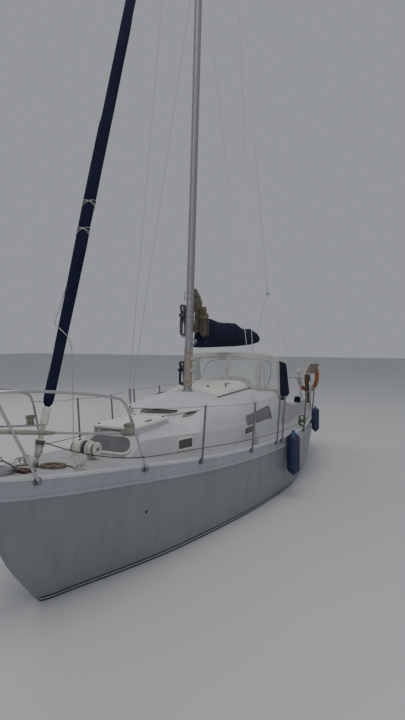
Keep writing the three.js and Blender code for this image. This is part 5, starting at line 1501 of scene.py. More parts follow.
def build_fore_hatch():
    frame_box = box("hatch_coaming", at(HATCH["aft1"], -HATCH["half"], 1.22),
                    at(HATCH["aft0"], HATCH["half"], HATCH["top"]), HOUSE, body=None)
    cut_box(frame_box, HATCH_HOLE["afts"], HATCH_HOLE["half"], (1.1, 1.6))
    bevel(frame_box, 0.008, 3)
    shade(frame_box, 35)
    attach(frame_box, "root")
    ears = Shell()
    lugs = Shell()
    for y in HINGE[2]:
        for d in (-0.033, 0.033):
            ears.turned(at(HINGE[0], y + d - 0.011, HINGE[1]), PORT, [(0, 0.009), (0.022, 0.009)], 16)
            ears.box(at(HINGE[0] + 0.008, y + d - 0.011, roof_z(1.12, y) - 0.02),
                     at(HINGE[0] - 0.008, y + d + 0.011, HINGE[1]))
        lugs.turned(at(HINGE[0], y - 0.020, HINGE[1]), PORT, [(0, 0.009), (0.040, 0.009)], 16)
        lugs.box(at(1.125, y - 0.020, 1.343), at(HINGE[0], y + 0.020, 1.356))
        for d in (-0.011, 0.011):
            lugs.turned(at(1.117, y + d, 1.355), UP, [(0, 0.005), (0.003, 0.005), (0.004, 0.003)], 10)
    ears.make("hatch_ears", STEEL, round_by=0.002)
    lugs.make("lid_lugs", STEEL, body="fore_hatch", round_by=0.0015)
    lid = domed("lid_moulding", LID["aft0"], LID["aft1"], LID["half"], LID["low"], LID["top"], 0.008, 0.05,
                CREAM, "fore_hatch")
    stands_for(lid, "cream_moulding", "fore_hatch_lid")
    rib = Shell()
    for y in (-0.155, 0.155):
        rib.rings([[at(a, y - w, z) for w, z in ((-0.02, 1.362), (0.02, 1.362))] + [at(a, y - w, z)
                for w, z in ((0.012, 1.374), (-0.012, 1.374))] for a in (1.20, 1.85)])
    rib.make("lid_ribs", CREAM, body="fore_hatch", round_by=0.003)
    knobs = Shell()
    for aft, y in ((1.88, -0.20), (1.88, 0.20), (1.17, -0.22), (1.17, 0.22)):
        knobs.turned(at(aft, y, 1.364), UP, [(0, 0.020), (0.004, 0.020), (0.006, 0.013), (0.012, 0.013),
                (0.0135, 0.009)], 18)
    knobs.tube(smooth_path([at(1.45, 0.205, 1.366), at(1.46, 0.205, 1.3725), at(1.60, 0.205, 1.3725),
                            at(1.61, 0.205, 1.366)], 5), 0.006, 10)
    knobs.make("lid_fittings", BLACK, body="fore_hatch")


# Sea hood rows: aft, half width, height at its side, at the shoulder and in the middle
HOOD_ROWS = [(3.095, 0.468, 1.500, 1.530, 1.568), (3.110, 0.469, 1.516, 1.549, 1.586),
             (3.420, 0.474, 1.535, 1.600, 1.630), (3.700, 0.477, 1.537, 1.612, 1.633),
             (4.300, 0.482, 1.540, 1.632, 1.638)]
SHOULDER_IN, SLIDE_HALF = 0.105, 0.312


def build_sea_hood():
    rings = []
    for aft, half, side_z, shoulder_z, top in HOOD_ROWS:
        corner = [Vector((half, side_z - 0.05, 0)), Vector((half, side_z, 0)),
                  Vector((half - SHOULDER_IN, shoulder_z, 0)),
                  Vector((half - SHOULDER_IN - 0.10, shoulder_z + (top - shoulder_z) * 0.3, 0))]
        port = [Vector((half, 1.42, 0))] + bent(corner, 0.03, 5)
        port += [Vector((0.20, top - 0.001, 0)), Vector((0, top, 0))]
        port = [at(aft, p.x, p.y) for p in port]
        rings.append(across(port))
    hood = loft("sea_hood_moulding", rings, CREAM, body=None)
    cut_box(hood, (3.70, 4.9), SLIDE_HALF, (1.3, 1.622))
    shade(hood, 30)
    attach(hood, "root")
    stands_for(hood, "cream_moulding", "sea_hood")
    tracks = Shell()
    for sign in (1, -1):
        for y0, y1, z1 in ((0.285, 0.350, 1.5897), (SLIDE_HALF, 0.350, 1.622)):
            tracks.side_box(sign, (3.71, 4.756), (y0, y1), (1.45, z1))
    tracks.make("hatch_tracks", HOUSE, round_by=0.003)
    bits = Shell()
    for aft, y, r in ((3.30, 0.18, 0.017), (3.32, -0.18, 0.017), (3.50, 0.385, 0.012),
                      (3.50, -0.385, 0.012), (4.24, 0.385, 0.012), (4.24, -0.385, 0.012)):
        bits.turned(at(aft, y, 1.605 if abs(y) < 0.3 else 1.606), UP,
                    [(0, r), (0.022, r), (0.026, r * 0.6)], 16)
    # Painted shadow: a black rod on the roof along each side of the sea hood stands for the shadow line at
    # its foot.
    for sign in (1, -1):
        line = []
        for a in np.linspace(2.93, 4.30, 30):
            y = 0.485 + 0.045 * (a - 2.93) / 1.37
            line.append(at(a, sign * y, roof_z(a, y) + 0.008))
        bits.tube(line, 0.0065, 8)
    bits.make("hood_knobs_and_shadow_rods", BLACK)


def build_sliding_hatch():
    top = domed("slider_moulding", 4.240, 4.850, 0.305, 1.5902, 1.608, 0.004, 0.03, CREAM, "sliding_hatch")
    stands_for(top, "cream_moulding", "sliding_hatch")
    bevel(loft("slider_lip",
               [[at(a, y, z) for y, z in ((-0.25, 1.606), (-0.24, h), (0.24, h), (0.25, 1.606))]
                for a, h in ((4.808, 1.612), (4.815, 1.642), (4.835, 1.646), (4.848, 1.614))], CREAM,
               body="sliding_hatch"), 0.004, 3)
    outline = rounded([(4.33, -0.2), (4.33, 0.2), (4.72, 0.2), (4.72, -0.2)], 0.03)
    bevel(loft("slider_pane", [[at(p.x, p.y, z) for p in outline] for z in (1.606, 1.6155)], SMOKED,
               body="sliding_hatch"), 0.0015)
    boards = Shell()
    for low, high in ((1.0005, 1.184), (1.188, 1.372), (1.376, 1.560)):
        boards.box(at(4.750, -0.2745, low), at(4.728, 0.2745, high))
    stands_for(boards.make("washboard_planks", WOOD, round_by=0.003), "timber", "washboards")
    frame_box = Shell()
    for sign in (1, -1):
        frame_box.side_box(sign, (4.722, 4.776), (0.2755, 0.300), (0.95, 1.560))
    frame_box.box(at(4.790, -0.31, 0.945), at(4.725, 0.31, 1.000))
    frame_box.make("companion_trim", WOOD, round_by=0.004)


# Winches, cleats, windlass, bow roller, anchor
WINCH = {"aft": 6.000, "y": 0.880, "z": 1.112}
WINCH_COVER = [(0.0004, 0.060), (0.006, 0.063), (0.020, 0.0635), (0.045, 0.060), (0.070, 0.056),
               (0.090, 0.053), (0.099, 0.048), (0.106, 0.034), (0.109, 0.018), (0.110, 0.004)]


def build_winch(side, sign):
    """A winch under its canvas cover, on its island."""
    origin = at(WINCH["aft"], sign * WINCH["y"], WINCH["z"])
    island = Shell()
    island.turned(origin - UP * 0.30, UP, [(0, 0.078), (0.22, 0.068), (0.29, 0.066), (0.298, 0.062),
                                           (0.2998, 0.058)], 36)
    island.make("winch_island_" + side, DECK, smooth=50)
    rings = []
    for h in sorted({h for h, _ in WINCH_COVER} | set(np.linspace(0.01, 0.1, 14))):
        r = row_at(WINCH_COVER, h)[0]
        ring = []
        for a in angles(40):
            fade = min(1, (0.11 - h) * 60)
            fold = 1 + 0.035 * ripple(3 * math.cos(a), 3 * math.sin(a), h * 14 + sign) * fade
            ring.append(origin + Vector((r * fold * math.cos(a), r * fold * math.sin(a), h)))
        rings.append(ring)
    cover = loft("winch_cover_" + side, rings, NAVY, smooth=60)
    stands_for(cover, "navy_canvas", "winch_" + side)
    hem = [origin + Vector((0.0645 * math.cos(a), 0.0645 * math.sin(a), 0.012 + 0.002 * math.sin(5 * a)))
           for a in np.linspace(0, math.tau, 40)]
    Shell().tube(hem, 0.0028, 8).make("winch_cover_hem_" + side, NAVY)


def build_cleat(node, aft, y, turn=0.0):
    base = at(aft, y, deck_z(aft, y))
    spin = Matrix.Rotation(turn, 4, "Z")
    shell = Shell()
    horn = [(-0.095, 0.046), (-0.07, 0.051), (-0.035, 0.048), (0, 0.047), (0.035, 0.048), (0.07, 0.051),
            (0.095, 0.046)]
    radii = [0.005, 0.008, 0.0105, 0.0115, 0.0105, 0.008, 0.005]
    shell.tube(smooth_path([Vector((x, 0, z)) for x, z in horn], 3),
               list(np.interp(np.linspace(0, 6, 19), range(7), radii)), 14)
    for x in (-0.028, 0.028):
        shell.turned((x, 0, -0.002), UP, [(0, 0.018), (0.008, 0.016), (0.014, 0.010), (0.045, 0.0095)], 16)
    plate = rounded([(-0.06, -0.02), (0.06, -0.02), (0.06, 0.02), (-0.06, 0.02)], 0.012)
    steps = [(1, -0.006), (1, 0.004), (0.94, 0.007)]
    shell.rings([[Vector((s * x, s * w, z)) for x, w in plate] for s, z in steps])
    shell.verts = [tuple(base + spin @ Vector(v)) for v in shell.verts]
    stands_for(shell.make(node + "_horns", STEEL, smooth=40), "steel", node)


WINDLASS = (0.650, 1.215)
# Turned round the windlass's shaft: y, rows of distance and radius, sides and which material
WINDLASS_TURNED = [
    (-0.150, [(0, 0.050), (0.005, 0.066), (0.020, 0.074), (0.036, 0.076)], 40, 1),
    (-0.116, [(0, 0.078), (0.003, 0.088), (0.012, 0.092), (0.078, 0.092), (0.090, 0.088), (0.094, 0.078)],
     40, 0),
    (-0.024, [(0, 0.058), (0.012, 0.078), (0.016, 0.078), (0.026, 0.050), (0.036, 0.050), (0.046, 0.078),
              (0.050, 0.078), (0.056, 0.060)], 32, 1),
    (0.030, [(0, 0.070), (0.003, 0.080), (0.010, 0.083), (0.018, 0.080), (0.0205, 0.066), (0.0292, 0.060)],
     40, 0),
]
WARPING_DRUM = [(0.0004, 0.073), (0.006, 0.074), (0.018, 0.074), (0.023, 0.066), (0.030, 0.050),
                (0.043, 0.046), (0.056, 0.050), (0.062, 0.064), (0.067, 0.072), (0.077, 0.071),
                (0.0795, 0.066), (0.0795, 0.058), (0.076, 0.054), (0.076, 0.044), (0.0795, 0.040),
                (0.0795, 0.026), (0.072, 0.024)]


def build_windlass():
    aft, z = WINDLASS
    foot_z = deck_z(aft, 0)
    shell = Shell()
    for y, rows, sides, slot in WINDLASS_TURNED:
        shell.turned(at(aft, y, z), PORT, rows, sides, slot)
    base = rounded([(-0.095, -0.140), (0.095, -0.140), (0.095, 0.050), (-0.095, 0.050)], 0.02)
    steps = [(1.0, foot_z - 0.015), (1.0, foot_z + 0.012), (0.9, foot_z + 0.02), (0.82, z - 0.03)]
    shell.rings([[at(aft + s * x, y, h) for x, y in base] for s, h in steps])
    for y in (-0.120, 0.035):
        for dx in (-0.082, 0.082):
            shell.turned(at(aft + dx, y, foot_z + 0.010), UP, [(0, 0.010), (0.010, 0.010), (0.012, 0.006)],
                         6, 1)
    shell.turned(at(aft - 0.02, -0.06, z + 0.070), UP, [(0, 0.022), (0.020, 0.022), (0.022, 0.016)], 16, 1)
    stands_for(shell.make("windlass_body", [WHITE_METAL, IRON], smooth=40), "steel", "windlass")
    drum = Shell()
    drum.turned(at(aft, 0.060, z), PORT, WARPING_DRUM, 36, 0)
    drum.turned(at(aft, 0.130, z), PORT, [(0, 0.014), (0.010, 0.014), (0.012, 0.009)], 6, 2)
    for k in range(3):
        loop = [at(aft - 0.053 * math.cos(a), 0.060 + 0.035 + 0.009 * k + 0.009 * a / math.tau,
                   z + 0.053 * math.sin(a)) for a in np.linspace(0, math.tau, 30)]
        drum.tube(loop, 0.0048, 8, 1)
    stands_for(drum.make("warping_drum", [WHITE_METAL, TAN_ROPE, IRON], body="windlass_drum", smooth=35),
               "steel", "windlass_drum")


STEM_TOP = 1.262


def build_bow_roller():
    shell = Shell()
    side = [(-0.905, STEM_TOP - 0.026), (-0.905, STEM_TOP + 0.030), (-0.875, STEM_TOP + 0.058),
            (-0.840, STEM_TOP + 0.062), (-0.780, STEM_TOP + 0.046), (-0.420, STEM_TOP + 0.030),
            (-0.330, STEM_TOP - 0.004), (-0.330, STEM_TOP - 0.026)]
    for y0, y1 in ((-0.058, -0.046), (0.046, 0.058)):
        shell.rings([[at(a, y, z) for a, z in side] for y in (y0, y1)])
    shell.box(at(-0.330, -0.058, STEM_TOP - 0.034), at(-0.905, 0.058, STEM_TOP - 0.022))
    shell.turned(at(-0.860, -0.064, STEM_TOP + 0.022), PORT, [(0, 0.010), (0.004, 0.010), (0.004, 0.006),
            (0.124, 0.006), (0.124, 0.010), (0.128, 0.010)], 12)
    shell.turned(at(-0.860, -0.043, STEM_TOP + 0.022), PORT, [(0, 0.029), (0.012, 0.024), (0.03, 0.016),
            (0.056, 0.016), (0.074, 0.024), (0.086, 0.029)], 28, 1)
    shell.turned(at(-0.52, -0.062, STEM_TOP + 0.020), PORT, [(0, 0.007), (0.124, 0.007)], 12)
    stands_for(shell.make("stem_fitting", [STEEL, BLACK], smooth=35, round_by=0.0015), "steel",
               "bow_roller")


ANCHOR_BAR = [(-1.012, 1.115), (-0.985, 1.215), (-0.905, 1.332), (-0.80, 1.341), (-0.64, 1.344),
              (-0.485, 1.345)]
BAR_SECTION = [(-1, -0.6), (-0.75, -1), (0.75, -1), (1, -0.6), (1, 0.6), (0.75, 1), (-0.75, 1), (-1, 0.6)]
# The fluke: aft, half width and height
FLUKE = [(-1.073, 0.010, 1.262), (-1.060, 0.062, 1.232), (-1.035, 0.105, 1.190), (-1.010, 0.117, 1.125),
         (-0.985, 0.117, 1.060), (-0.962, 0.075, 0.995), (-0.948, 0.018, 0.957)]


def fluke_ring(aft, half, z):
    """Across the fluke's face and back behind it, which is hollowed less."""
    ring = []
    for way, shift, narrow, dip in ((1, -0.004, 1, 0.026), (-1, 0.006, 0.985, 0.018)):
        for k in range(13):
            u = way * (2 * k / 12 - 1)
            ring.append(at(aft + shift + 0.01 * (1 - u * u), half * u * narrow,
                           z - dip * (1 - abs(u) ** 1.6)))
    return ring


def build_anchor():
    shell = Shell()
    bar = smooth_path([at(aft, 0, z) for aft, z in ANCHOR_BAR], 5)
    rings = []
    for i, p in enumerate(bar):
        up = PORT.cross((bar[min(i + 1, len(bar) - 1)] - bar[max(i - 1, 0)]).normalized())
        rings.append([p + up * (0.021 * a) + PORT * (0.009 * b) for a, b in BAR_SECTION])
    shell.rings(rings)
    shell.rings([fluke_ring(*row) for row in FLUKE])
    for sign in (1, -1):
        shell.rings([[at(-1.030 + d, sign * 0.012, 1.118 - d * 0.2), at(-0.985 + d, sign * 0.012, 1.110),
                      at(-0.975, sign * 0.030, 1.16), at(-1.02, sign * 0.030, 1.17)] for d in (0, 0.012)])
    stands_for(shell.make("anchor_forging", IRON, smooth=40), "iron", "anchor")
    shackle = Shell()
    centre = at(-0.470, 0, 1.345)
    shackle.tube([centre + Vector((0.034 * math.cos(a) - 0.012, 0.0, 0.016 * math.sin(a)))
                  for a in np.linspace(-2.2, 2.2, 16)], 0.005, 8)
    shackle.turned(centre + Vector((0.012, -0.020, 0)), PORT, [(0, 0.006), (0.040, 0.006)], 10)
    shackle.make("anchor_shackle", IRON)


# Fenders: name, aft, radius, heights of the ends, and how far they stand off the deck edge
FENDERS = [("fender_port_fore", 3.780, 0.095, 0.320, 0.965, 0.015), ("fender_port_aft", 5.360, 0.064, 0.690,
        1.130, 0.0359)]
FENDER_ENDS = [(0, 0.22), (0.04, 0.30), (0.16, 0.36), (0.30, 0.44), (0.45, 0.66), (0.62, 0.85),
               (0.85, 0.97), (1.05, 0.998)]
FENDER_NECK = [(1.25, 0.998), (1.05, 0.97), (0.82, 0.85), (0.62, 0.66), (0.45, 0.46), (0.32, 0.38),
               (0.28, 0.27), (-0.06, 0.24), (-0.12, 0.16)]


def build_fender(node, aft, r, low, high, out):
    tall = high - low
    origin = at(aft, hull_at(aft)["half"] + out + r, low)
    rows = [(d * r, w * r) for d, w in FENDER_ENDS] + [(tall - d * r, w * r) for d, w in FENDER_NECK]
    fine = []
    for a, b in zip(rows, rows[1:]):
        fine.append(a)
        if b[0] - a[0] > 0.1:
            fine += [(a[0] + (b[0] - a[0]) * k / 12, a[1] - 0.0012 * (k % 2)) for k in range(1, 12)]
    fine.append(rows[-1])
    shell, n = Shell(), 40
    shell.turned(origin, UP, fine, n)
    for k in range(len(fine) - 1):
        if fine[k][0] >= tall - 0.5 * r or fine[k][0] < 0.3 * r:
            for i in range(n):
                shell.slots[k * n + i] = 1
    for a in np.arange(0, math.tau, math.tau / 10):
        shell.tube([origin + Vector((w * r * math.cos(a), w * r * math.sin(a), tall - d * r))
                    for d, w in ((0.46, 0.47), (0.66, 0.72), (0.88, 0.905), (1.06, 0.98))], 0.0022, 6)
    stands_for(shell.make(node + "_body", [NAVY_VINYL, BLUE_VINYL], smooth=45), "fender_vinyl", node)
    return origin + UP * tall


# Loose gear at the port quarter
BUOY_AFT, BUOY_R = 7.445, 0.045
BUOY_LINE = [(0.585, 1.690), (0.585, 1.420), (0.655, 1.265), (0.775, 1.215), (0.895, 1.265), (0.965, 1.420),
             (0.965, 1.690)]
PAD_AFT = (7.080, 7.115)
PAD_OUTLINE = [(0.800, 1.600), (1.000, 1.600), (1.090, 1.800), (0.905, 1.800)]
PAD_POST = {"aft": 7.098, "y": 0.900, "r": 0.014}
OUTBOARD = {"aft": 7.012, "y": 0.853}
OUTBOARD_TIES = (1.08, 1.33)
OUTBOARD_ROWS = [(0.975, 0.026, 0.040), (1.290, 0.034, 0.044), (1.400, 0.052, 0.054), (1.540, 0.056, 0.056),
                 (1.590, 0.040, 0.044)]


def build_buoy():
    """Horseshoe buoy in a worn cover, one arm of it white, with its straps to the rail."""
    path = smooth_path([at(BUOY_AFT, y, z) for y, z in BUOY_LINE], 9)
    ends = [0.55, 0.85, 0.97] + [1] * (len(path) - 6) + [0.97, 0.85, 0.55]
    rings = sweep_rings(path, [BUOY_R * e for e in ends], 20)
    worn = []
    for i, ring in enumerate(rings):
        mid = sum(ring, Vector((0, 0, 0))) / len(ring)
        worn.append([mid + (p - mid) * (1 + 0.04 * ripple(p.y * 14, p.z * 14, 5)) for p in ring])
    verts = [p for ring in worn for p in ring]
    faces = ring_faces(len(worn), 20)
    white = [1 if f[0] // 20 < 17 else 0 for f in faces]
    stands_for(new_object("buoy_cover_cloth", verts, faces, [ORANGE_CLOTH, BINDING], white, 60),
               "buoy_cover", "horseshoe_buoy")
    straps = Shell()
    for k in (4, 12, 21, 33, 42, 50):
        mid = path[min(k, len(path) - 1)]
        ring = rings[min(k, len(path) - 1)]
        straps.tube([mid + (p - mid) * 1.07 for p in ring + ring[:1]], 0.004, 6)
    straps.make("buoy_straps", TAN_ROPE)


def build_outboard():
    """Small outboard stowed upright under a tied canvas cover, and its pad on the rail."""
    rings = []
    for z in np.linspace(OUTBOARD_ROWS[0][0], OUTBOARD_ROWS[-1][0], 70):
        long, wide = row_at(OUTBOARD_ROWS, z)
        tie = sum(math.exp(-((z - t) / 0.018) ** 2) for t in OUTBOARD_TIES)
        top = min(1, math.sqrt(max(1.592 - z, 0) / 0.02))
        ring = []
        for a in angles(36):
            fold = 1 + 0.10 * ripple(2.2 * math.cos(a), 2.2 * math.sin(a), z * 9) - 0.12 * tie
            ring.append(at(OUTBOARD["aft"] + long * fold * top * math.cos(a),
                           OUTBOARD["y"] + wide * fold * top * math.sin(a), z))
        rings.append(ring)
    cover = loft("outboard_cover", rings, BROWN_CANVAS, smooth=60)
    stands_for(cover, "brown_canvas", "stowed_outboard")
    ties = Shell()
    for z in OUTBOARD_TIES:
        long, wide = row_at(OUTBOARD_ROWS, z)
        ties.tube([at(OUTBOARD["aft"] + long * 0.93 * math.cos(a),
                      OUTBOARD["y"] + wide * 0.93 * math.sin(a), z) for a in LOOP], 0.005, 8)
    ties.make("outboard_ties", TAN_ROPE)
    plate = loft("pad_plate", [[at(a, p.x, p.y) for p in rounded(PAD_OUTLINE, 0.02)] for a in PAD_AFT],
                 GREY_WOOD)
    bevel(plate, 0.004, 2)
    stands_for(plate, "timber", "outboard_pad")
    post = Shell()
    foot_z = PUSHPIT_Z + TUBE_R
    post.turned(at(PAD_POST["aft"], PAD_POST["y"], foot_z), UP, [
        (0.0003, 0.019), (0.020, 0.019), (0.022, PAD_POST["r"]), (1.620 - foot_z, PAD_POST["r"])], 16)
    for y, z in ((0.880, 1.64), (0.925, 1.74)):
        post.turned(at(PAD_AFT[0] + 0.001, y, z), AHEAD, [(0, 0.009), (0.004, 0.008), (0.006, 0.004)], 12)
    post.make("pad_post", STEEL)


# Under water and astern
def foil_ring(aft0, aft1, thick, z, count=20):
    """A wing section from its leading edge to its trailing edge and back."""
    port = []
    for k in range(count + 1):
        u = (1 - math.cos(math.pi * k / count)) / 2
        half = 5 * thick * (0.2969 * math.sqrt(u) - 0.126 * u - 0.3516 * u * u + 0.2843 * u ** 3
                            - 0.1015 * u ** 4)
        port.append(at(aft0 + (aft1 - aft0) * u, half, z))
    return port + flip(port[-2:0:-1], -1)


def foil(name, rows, spacing, materials, top_slot=None, **how):
    """A fin or blade through rows of height, leading edge, trailing edge and thickness."""
    heights = sorted(set(list(np.arange(rows[0][0], rows[-1][0], spacing)) + [row[0] for row in rows]))
    rings = [foil_ring(*row_at(rows, z), z) for z in heights]
    n = len(rings[0])
    slots = None
    if top_slot:
        slots = [1 if (a + b) / 2 > top_slot else 0 for a, b in zip(heights, heights[1:])
                 for _ in range(n)] + [0, 1]
    verts = [p for ring in rings for p in ring]
    return new_object(name, verts, ring_faces(len(rings), n), materials, slots, 35, **how)


KEEL_ROWS = [(-1.340, 3.200, 4.420, 0.120), (-1.328, 3.110, 4.485, 0.172), (-1.300, 3.045, 4.523, 0.198),
             (-0.700, 2.860, 4.600, 0.180), (-0.300, 2.760, 4.620, 0.190)]
SHAFT_FORE, SHAFT_END = at(4.70, 0, -0.33), at(6.05, 0, -0.56)
SHAFT_DIR = (SHAFT_END - SHAFT_FORE).normalized()
SHAFT_UP = Vector((SHAFT_DIR.z, 0, -SHAFT_DIR.x))
HUB_LONG, BLADE_ROOT, BLADE_TIP = 0.096, 0.026, 0.193
RUDDER_ROWS = [(-0.960, 7.540, 7.850, 0.020), (-0.950, 7.510, 7.885, 0.040), (-0.930, 7.498, 7.902, 0.046),
               (-0.400, 7.498, 7.950, 0.050), (0.200, 7.498, 7.860, 0.050), (1.010, 7.498, 7.700, 0.048)]
RUDDER_AFT, GUDGEON_Z, STRAP_UP = 7.470, (0.260, 0.760), 0.0203
STRAP = [(RUDDER_AFT, 0.0165), (7.640, 0.0275)]


def build_keel():
    keel = foil("keel_casting", KEEL_ROWS, 0.08, ANTIFOUL)
    stands_for(keel, "antifouling", "keel_fin")


def build_shaft():
    shell = Shell()
    shell.tube([SHAFT_FORE, SHAFT_END], 0.015, 20)
    shell.turned(SHAFT_END, -SHAFT_DIR, [(0.090, 0.022), (0.094, 0.029), (0.196, 0.029), (0.200, 0.022)],
                 24, 1)
    shell.rings([foil_ring(5.835, 5.905, 0.016, z, 10) for z in (-0.56, -0.36, -0.15)], 1)
    shell.turned(SHAFT_END, -SHAFT_DIR, [(0.360, 0.018), (0.366, 0.027), (0.402, 0.027), (0.408, 0.018)],
                 20, 2)
    stands_for(shell.make("shaft", [STEEL, BRONZE, ALLOY]), "steel", "propeller_shaft")


def build_propeller():
    shell = Shell()
    shell.turned(SHAFT_END, SHAFT_DIR, [(0.0004, 0.030), (0.006, 0.0335), (0.058, 0.0325), (0.072, 0.026),
                                        (0.073, 0.019), (0.086, 0.018), (HUB_LONG, 0.009)], 28)
    middle = SHAFT_END + SHAFT_DIR * 0.036
    for k in range(3):
        rings = []
        for u in np.linspace(0, 1, 15):
            r = BLADE_ROOT + (BLADE_TIP - BLADE_ROOT) * u
            chord = 0.026 + 0.072 * math.sin(math.pi * min(1, 0.10 + 0.86 * u)) ** 0.75
            pitch = math.radians(52 - 32 * u)
            thick = 0.0075 * (1 - 0.8 * u) + 0.0008
            ring = []
            for a in angles(20):
                along, through = chord / 2 * math.cos(a), thick / 2 * math.sin(a)
                round_hub = along * math.cos(pitch) - through * math.sin(pitch)
                down_shaft = -along * math.sin(pitch) - through * math.cos(pitch)
                turn = k * math.tau / 3 + round_hub / r * min(1, r / 0.06)
                ring.append(middle + SHAFT_DIR * down_shaft + SHAFT_UP * (r * math.cos(turn))
                            + PORT * (r * math.sin(turn)))
            rings.append(ring)
        shell.rings(rings)
    stands_for(shell.make("propeller_casting", BRONZE, body="propeller", smooth=50), "bronze", "propeller")


def build_engine():
    stands_for(box("engine_casing", at(4.56, -0.19, -0.1997), at(4.06, 0.19, 0.26), ENGINE_PAINT, 0.02),
               "iron", "engine_block")


def build_rudder():
    blade = foil("rudder_blade", RUDDER_ROWS, 0.06, [ANTIFOUL, SHADED_TOPSIDES], WHITE_LINE_TOP, body="rudder")
    stands_for(blade, "hull_gelcoat", "rudder")
    straps, plates = Shell(), Shell()
    for z in GUDGEON_Z:
        low = z + STRAP_UP
        straps.turned(at(RUDDER_AFT, 0, low), UP, [(0, 0.022), (0.002, 0.0238), (0.032, 0.0238),
                (0.034, 0.022)], 24)
        for sign in (1, -1):
            outline = STRAP + [(STRAP[1][0], 0.0240), (RUDDER_AFT, 0.0120)]
            straps.rings([[at(a, sign * y, h) for a, y in outline] for h in (low + 0.001, low + 0.033)])
            for a in (7.535, 7.575, 7.615):
                y = row_at(STRAP, a)[0] - 0.001
                straps.turned(at(a, sign * y, low + 0.017), (0, sign, 0), [
                    (0, 0.007), (0.002, 0.0065), (0.0035, 0.003)], 12)
        plates.turned(at(RUDDER_AFT, 0, z - 0.020), UP, [(0, 0.022), (0.002, 0.024), (0.038, 0.024),
                (0.040, 0.022)], 24)
        face = TRANSOM - TRANSOM_RAKE * (hull_at(TRANSOM)["deck"] - z)
        plates.box(at(RUDDER_AFT, -0.022, z - 0.019), at(face - 0.010, 0.022, z + 0.019))
        corners = [(-0.060, -0.034), (0.060, -0.034), (0.060, 0.034), (-0.060, 0.034)]
        plates.rings([[at(face + d + TRANSOM_RAKE * h, y, z + h) for y, h in corners]
                      for d in (-0.004, 0.004)])
        for y in (-0.042, 0.042):
            for h in (-0.018, 0.018):
                plates.turned(at(face + 0.003 + TRANSOM_RAKE * h, y, z + h), -AHEAD, [
                    (0, 0.0075), (0.003, 0.007), (0.005, 0.003)], 12)
    straps.make("rudder_straps", STEEL, body="rudder")
    plates.make("gudgeons", STEEL)


TILLER_ROWS = [(6.450, 0.017, 1.072, 1.108), (6.900, 0.022, 1.030, 1.076), (7.300, 0.026, 1.014, 1.066),
               (7.660, 0.026, 1.0105, 1.062)]


def build_tiller():
    rings = []
    for a in np.linspace(TILLER_ROWS[0][0], TILLER_ROWS[-1][0], 34):
        half, low, high = row_at(TILLER_ROWS, a)
        corners = [(-half, low), (half, low), (half, high), (-half, high)]
        rings.append([at(a, p.x, p.y) for p in rounded(corners, 0.010, 4)])
    bar = loft("tiller_bar", rings, WOOD, body="rudder", smooth=50)
    stands_for(bar, "timber", "tiller")
    shell = Shell()
    shell.turned(at(6.470, 0, 1.0895), (1, 0, 0.075), [(0, 0.015), (0.012, 0.0165), (0.045, 0.0195),
            (0.072, 0.0195), (0.086, 0.015), (0.091, 0.006)], 24)
    shell.make("tiller_grip", WOOD, body="rudder")
    cheeks = Shell()
    for sign in (1, -1):
        cheeks.side_box(sign, (7.530, 7.650), (0.0255, 0.0290), (0.930, 1.050))
        for a, z in ((7.560, 1.036), (7.625, 1.036), (7.560, 0.960), (7.625, 0.960)):
            cheeks.turned(at(a, sign * 0.0288, z), (0, sign, 0),
                          [(0, 0.008), (0.003, 0.0075), (0.005, 0.003)], 12)
    cheeks.make("tiller_cheeks", STEEL, body="rudder", round_by=0.001)


def build_hull_details():
    """Skin fittings, cockpit locker lids and drains, and the clip on the deck edge."""
    shell = Shell()
    for aft, z in ((0.846, 0.600), (5.050, 0.420)):
        place = at(aft, side_y(aft, z), z)
        out = Vector((0.15, 0.98, -0.15)).normalized()
        shell.turned(place - out * 0.006, out, [(0, 0.016), (0.008, 0.016), (0.011, 0.012), (0.011, 0.008),
                (0.004, 0.007)], 20)
    shell.make("skin_fittings", BLACK)
    lids = Shell()
    for sign in (1, -1):
        outline = [(5.25, 0.40), (5.25, 0.745), (6.25, 0.690), (6.25, 0.40)]
        lids.rings([[at(a, sign * y, z) for a, y in outline]
                    for z in (FLOORS["seat"] - 0.004, FLOORS["seat"] + 0.010)])
    lids.make("locker_lids", HOUSE, round_by=0.004)
    hinges = Shell()
    for sign in (1, -1):
        for a in (5.45, 6.05):
            y = 0.745 - 0.055 * (a - 5.25)
            hinges.turned(at(a + 0.03, sign * (y + 0.004), FLOORS["seat"] + 0.008), AHEAD,
                          [(0, 0.006), (0.06, 0.006)], 12)
        hinges.turned(at(6.68, sign * 0.27, FLOORS["footwell"] - 0.002), UP, [
            (0, 0.028), (0.004, 0.028), (0.0045, 0.020), (0.003, 0.019)], 20)
    bends = [(0.760, 0.76, 1.07, 0.004, 1.100), (0.762, 0.76, 1.05, 0.022, 1.075),
             (0.772, 0.77, 1.03, 0.022, 1.052), (0.785, 0.78, 1.02, 0.020, 1.068),
             (0.790, 0.79, 1.05, 0.004, 1.096)]
    clip = smooth_path([at(aft, side_y(*near) + out, z) for aft, *near, out, z in bends], 6)
    hinges.tube(clip, 0.0035, 8)
    hinges.make("cockpit_fittings", STEEL)


